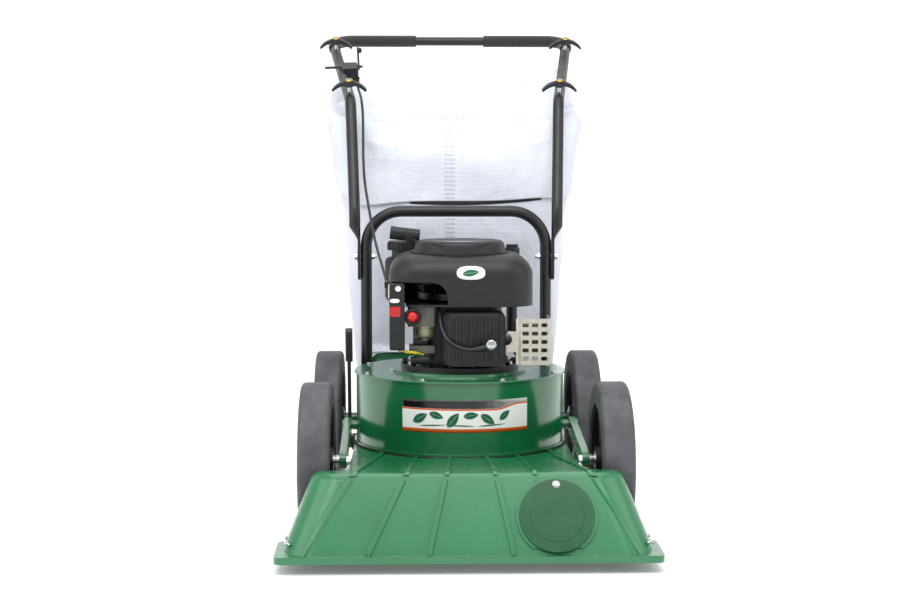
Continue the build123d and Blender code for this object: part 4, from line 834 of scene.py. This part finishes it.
cableRoute = [(-0.22876, 0.5782, 0.93616), (-0.230, 0.512, 0.910), (-0.220, 0.442, 0.889), (-0.214, 0.388, 0.856),
              (-0.212, 0.360, 0.800), (-0.212, 0.340, 0.740), (-0.208, 0.300, 0.686), (-0.199, 0.244, 0.640),
              (-0.189, 0.190, 0.590), (-0.177, 0.128, 0.542), (-0.164, 0.064, 0.507), (-0.156, 0.006, 0.483),
              (-0.153, -0.0375, 0.476)]  # behind the fan's axis
leadRoute = [(-0.045, -0.104, 0.434), (-0.045, -0.128, 0.418), (-0.042, -0.148, 0.396), (-0.030, -0.163, 0.372),
             (-0.006, -0.170, 0.357), (0.022, -0.172, 0.353), (0.0483, -0.172, 0.359)]


def behindFan(route):
    return [(x, y + fanY, z) for x, y, z in route]


def makeCables():
    line = smoothRoute(behindFan(cableRoute))
    cable = sweep("throttle_cable_sleeve", line, 0.003, materials["black_cable"], 12)
    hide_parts("throttle_cable")
    low, high = Vector((0, fanY + 0.244, 0.640)), Vector((0, fanY + 0.36, 0.800))
    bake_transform(cable)
    ferrule = [(0.0031, 0), (0.0052, 0.001), (0.0052, 0.016), (0.0044, 0.018), (0.0031, 0.018)]
    end = Vector(line[-1])
    back = (Vector(line[-3]) - end).normalized()
    collar = turned("cable_ferrule", ferrule, end, back, materials["zinc_fastener"], 24, closed=True)
    place(collar, "chassis", "zinc_fastener")
    lead = smoothRoute(behindFan(leadRoute))
    share = np.linspace(0, 1, len(lead))
    thickness = 0.0035 + 0.0035 * np.clip((share - 0.86) / 0.14, 0, 1) ** 0.7
    tube = sweep("spark_lead_sleeve", lead, thickness, materials["black_cable"], 18)
    place(tube, "chassis", "black_cable", ["spark_lead"])
    # silver shield over the plug's boot
    low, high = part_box("spark_plug")
    centre = ((low.x + high.x) / 2, low.y, (low.z + high.z) / 2)
    shield = [(0.0015, -0.0016), (0.0085, -0.0012), (0.0102, 0.0), (0.0106, 0.004), (0.0108, 0.013), (0.0100, 0.0135),
              (0.0098, 0.004), (0.0015, 0.0002)]
    place(turned("plug_shield", shield, centre, (0, 1, 0), materials["zinc_fastener"], 32, closed=True), "chassis",
          "zinc_fastener")


makeCables()
print("cables made")


# engine trim

coverLow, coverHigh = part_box("blower_cover")
coverShape = {"round": 0.044, "shoulder": coverLow.z + 0.104}


def onCoverFront(a, b, proud):
    # the cover's front wall, rolling back above the height where its shoulder starts
    start = coverShape["shoulder"] - coverShape["round"]
    climb = np.clip(b - start, 0, coverShape["round"])
    back = coverShape["round"] - np.sqrt(coverShape["round"] ** 2 - climb ** 2)
    slope = climb / coverShape["round"]
    return np.stack([a, coverLow.y + back - proud * np.sqrt(1 - slope ** 2), b + proud * slope], -1)


def discPatch(surface, centre, halfWidth, halfHeight, proud, rings=8, around=64, square=2.0):
    # rounded plate: rings of a superellipse laid on a surface, then an edge down to it
    angle = np.linspace(0, 2 * np.pi, around, endpoint=False)[None, :]
    rows = np.concatenate([np.linspace(0.02, 0.94, rings), [1.0, 1.0]])[:, None]
    lift = np.concatenate([np.full(rings, proud), [proud * 0.7, -0.0002]])[:, None]
    power = 2 / square
    a = centre[0] + halfWidth * rows * np.sign(np.cos(angle)) * np.abs(np.cos(angle)) ** power
    b = centre[1] + halfHeight * rows * np.sign(np.sin(angle)) * np.abs(np.sin(angle)) ** power
    return surface(a, b, lift + 0 * a)


def plate(name, surface, centre, halfWidth, halfHeight, proud, material, square=2.0):
    points = discPatch(surface, centre, halfWidth, halfHeight, proud, square=square)
    faces = gridFaces(*points.shape[:2], closedColumns=True) + [list(range(points.shape[1]))[::-1]]
    piece = meshPiece(name, points, faces, materials[material], 50)
    cleanNormals(piece)
    return piece


def cleanNormals(piece):
    # faces outwards on a new mesh
    form = bmesh.new()
    form.from_mesh(piece.data)
    bmesh.ops.recalc_face_normals(form, faces=form.faces)
    form.to_mesh(piece.data)
    form.free()


def makeCoverTrim():
    badge = plate("cover_badge", onCoverFront, (0.0188, 0.5065), 0.029, 0.0135, 0.0016, "whiteVinyl", 2.6)
    place(badge, "chassis", "zinc_fastener")
    ink = leafPrint("cover_badge_leaf", lambda a, b: onCoverFront(a, b, 0.0019),
                    [((0.0188, 0.5065), 0.034, 0.013, 0.12)], materials["leafInk"])
    place(ink, "chassis", "green_enamel")
    # silver crescent on the front of the dome's flat top: between two arcs
    around = np.linspace(-0.78, 0.78, 48)[None, :]
    depth = np.linspace(0, 1, 8)[:, None]
    outer, inner = 0.082, 0.082 - 0.026 * np.cos(around * np.pi / 2 / 0.78) - 0.001
    radius = outer * (1 - depth) + inner * depth
    points = np.stack([radius * np.sin(around), fanY - radius * np.cos(around),
                       coverHigh.z + 0.0004 + 0 * radius], -1)
    sticker = meshPiece("dome_sticker", points, gridFaces(8, 48), materials["silverVinyl"], 80)
    sheet = sticker.modifiers.new("sheet", "SOLIDIFY")
    sheet.thickness = 0.0003
    place(sticker, "chassis", "zinc_fastener")
    slots = []
    for sign in (-1, 1):
        line = np.array([[sign * 0.058, fanY - 0.0695, coverHigh.z - 0.0036],
                         [sign * 0.050, fanY - 0.080, coverHigh.z - 0.0050],
                         [sign * 0.040, fanY - 0.0905, coverHigh.z - 0.0080]])
        slots.append(sweep("slot", line, (0.0022, 0.0028, 0.0022), materials["sealingRubber"], 12, 0.6))
    place(merged("dome_slots", slots), "chassis", "black_moulding")
    # base seam of the recoil housing
    seamLine = np.linspace(0, 2 * np.pi, 120, endpoint=False)
    angle = np.linspace(0, 2 * np.pi, 8, endpoint=False)
    seamRadius = 0.1015 + 0.0011 * np.cos(angle)[None, :]
    seam = np.stack([seamRadius * np.sin(seamLine)[:, None], fanY - seamRadius * np.cos(seamLine)[:, None],
                     coverShape["shoulder"] + 0.0016 + 0.0011 * np.sin(angle)[None, :] + 0 * seamLine[:, None]], -1)
    faces = gridFaces(120, 8, closedRows=True, closedColumns=True)
    ring = meshPiece("dome_seam", seam, faces, materials["sealingRubber"])
    place(ring, "chassis", "black_moulding")


def makeControlTrim():
    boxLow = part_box("control_box")[0]

    def front(a, b, proud):
        return np.stack([a, boxLow.y - proud + 0 * a, b + 0 * a], -1)

    for name, centre, halfWidth, halfHeight, material, square in (
        ("choke_dot", (-0.1292, 0.4755), 0.0058, 0.0058, "whiteVinyl", 2.0),
        ("red_patch", (-0.1355, 0.4288), 0.0108, 0.0100, "redVinyl", 9.0),
        ("white_patch", (-0.1362, 0.4510), 0.0100, 0.0042, "whiteVinyl", 2.6),
    ):
        patch = plate(name, front, centre, halfWidth, halfHeight, 0.0006, material, square)
        place(patch, "chassis", "black_moulding")
    # bezel round the primer bulb, float bowl and the black stub of the drain plug
    low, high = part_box("primer_bulb")
    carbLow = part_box("carburettor")[0]
    bezel = [(0.0122, 0.0), (0.0172, 0.0), (0.0180, 0.0018), (0.0168, 0.0040), (0.0140, 0.0046), (0.0122, 0.0030)]
    centre = ((low.x + high.x) / 2, carbLow.y + 0.0006, (low.z + high.z) / 2)
    place(turned("primer_bezel", bezel, centre, (0, -1, 0), materials["black_moulding"], 48, closed=True), "chassis",
          "black_moulding")
    bowl = [(0.001, 0.366), (0.0060, 0.3662), (0.0068, 0.3700), (0.0150, 0.3722), (0.0182, 0.3756), (0.0192, 0.3800),
            (0.0196, 0.3930), (0.0212, 0.3942), (0.0214, 0.3968), (0.0120, 0.3972), (0.001, 0.3972)]
    cup = turned("float_bowl", bowl, (-0.074, fanY - 0.100, 0), (0, 0, 1), materials["bowlMetal"], 56)
    place(cup, "chassis", "cast_metal")
    stub = [(0.001, -0.002), (0.0085, -0.002), (0.0095, 0.0), (0.0095, 0.018), (0.0078, 0.0195), (0.0078, 0.036),
            (0.0068, 0.038), (0.001, 0.038)]
    plug = turned("drain_stub", stub, (-0.066, fanY - 0.112, 0.3265), (-1, 0, 0), materials["black_moulding"], 32)
    place(plug, "chassis", "black_casting")
    wire = smoothRoute([(-0.078, fanY - 0.112, 0.3380), (-0.088, fanY - 0.118, 0.3420), (-0.104, fanY - 0.122, 0.3440),
                        (-0.120, fanY - 0.116, 0.3450), (-0.131, fanY - 0.104, 0.3520)])
    share = np.linspace(0, 1, len(wire))
    thick = np.where((share > 0.25) & (share < 0.75), 0.0032, 0.0018)
    sleeve = sweep("earth_wire", wire, thick, materials["yellowSleeve"], 12)
    place(sleeve, "chassis", "black_cable")


makeCoverTrim()
makeControlTrim()
print("engine trim made")
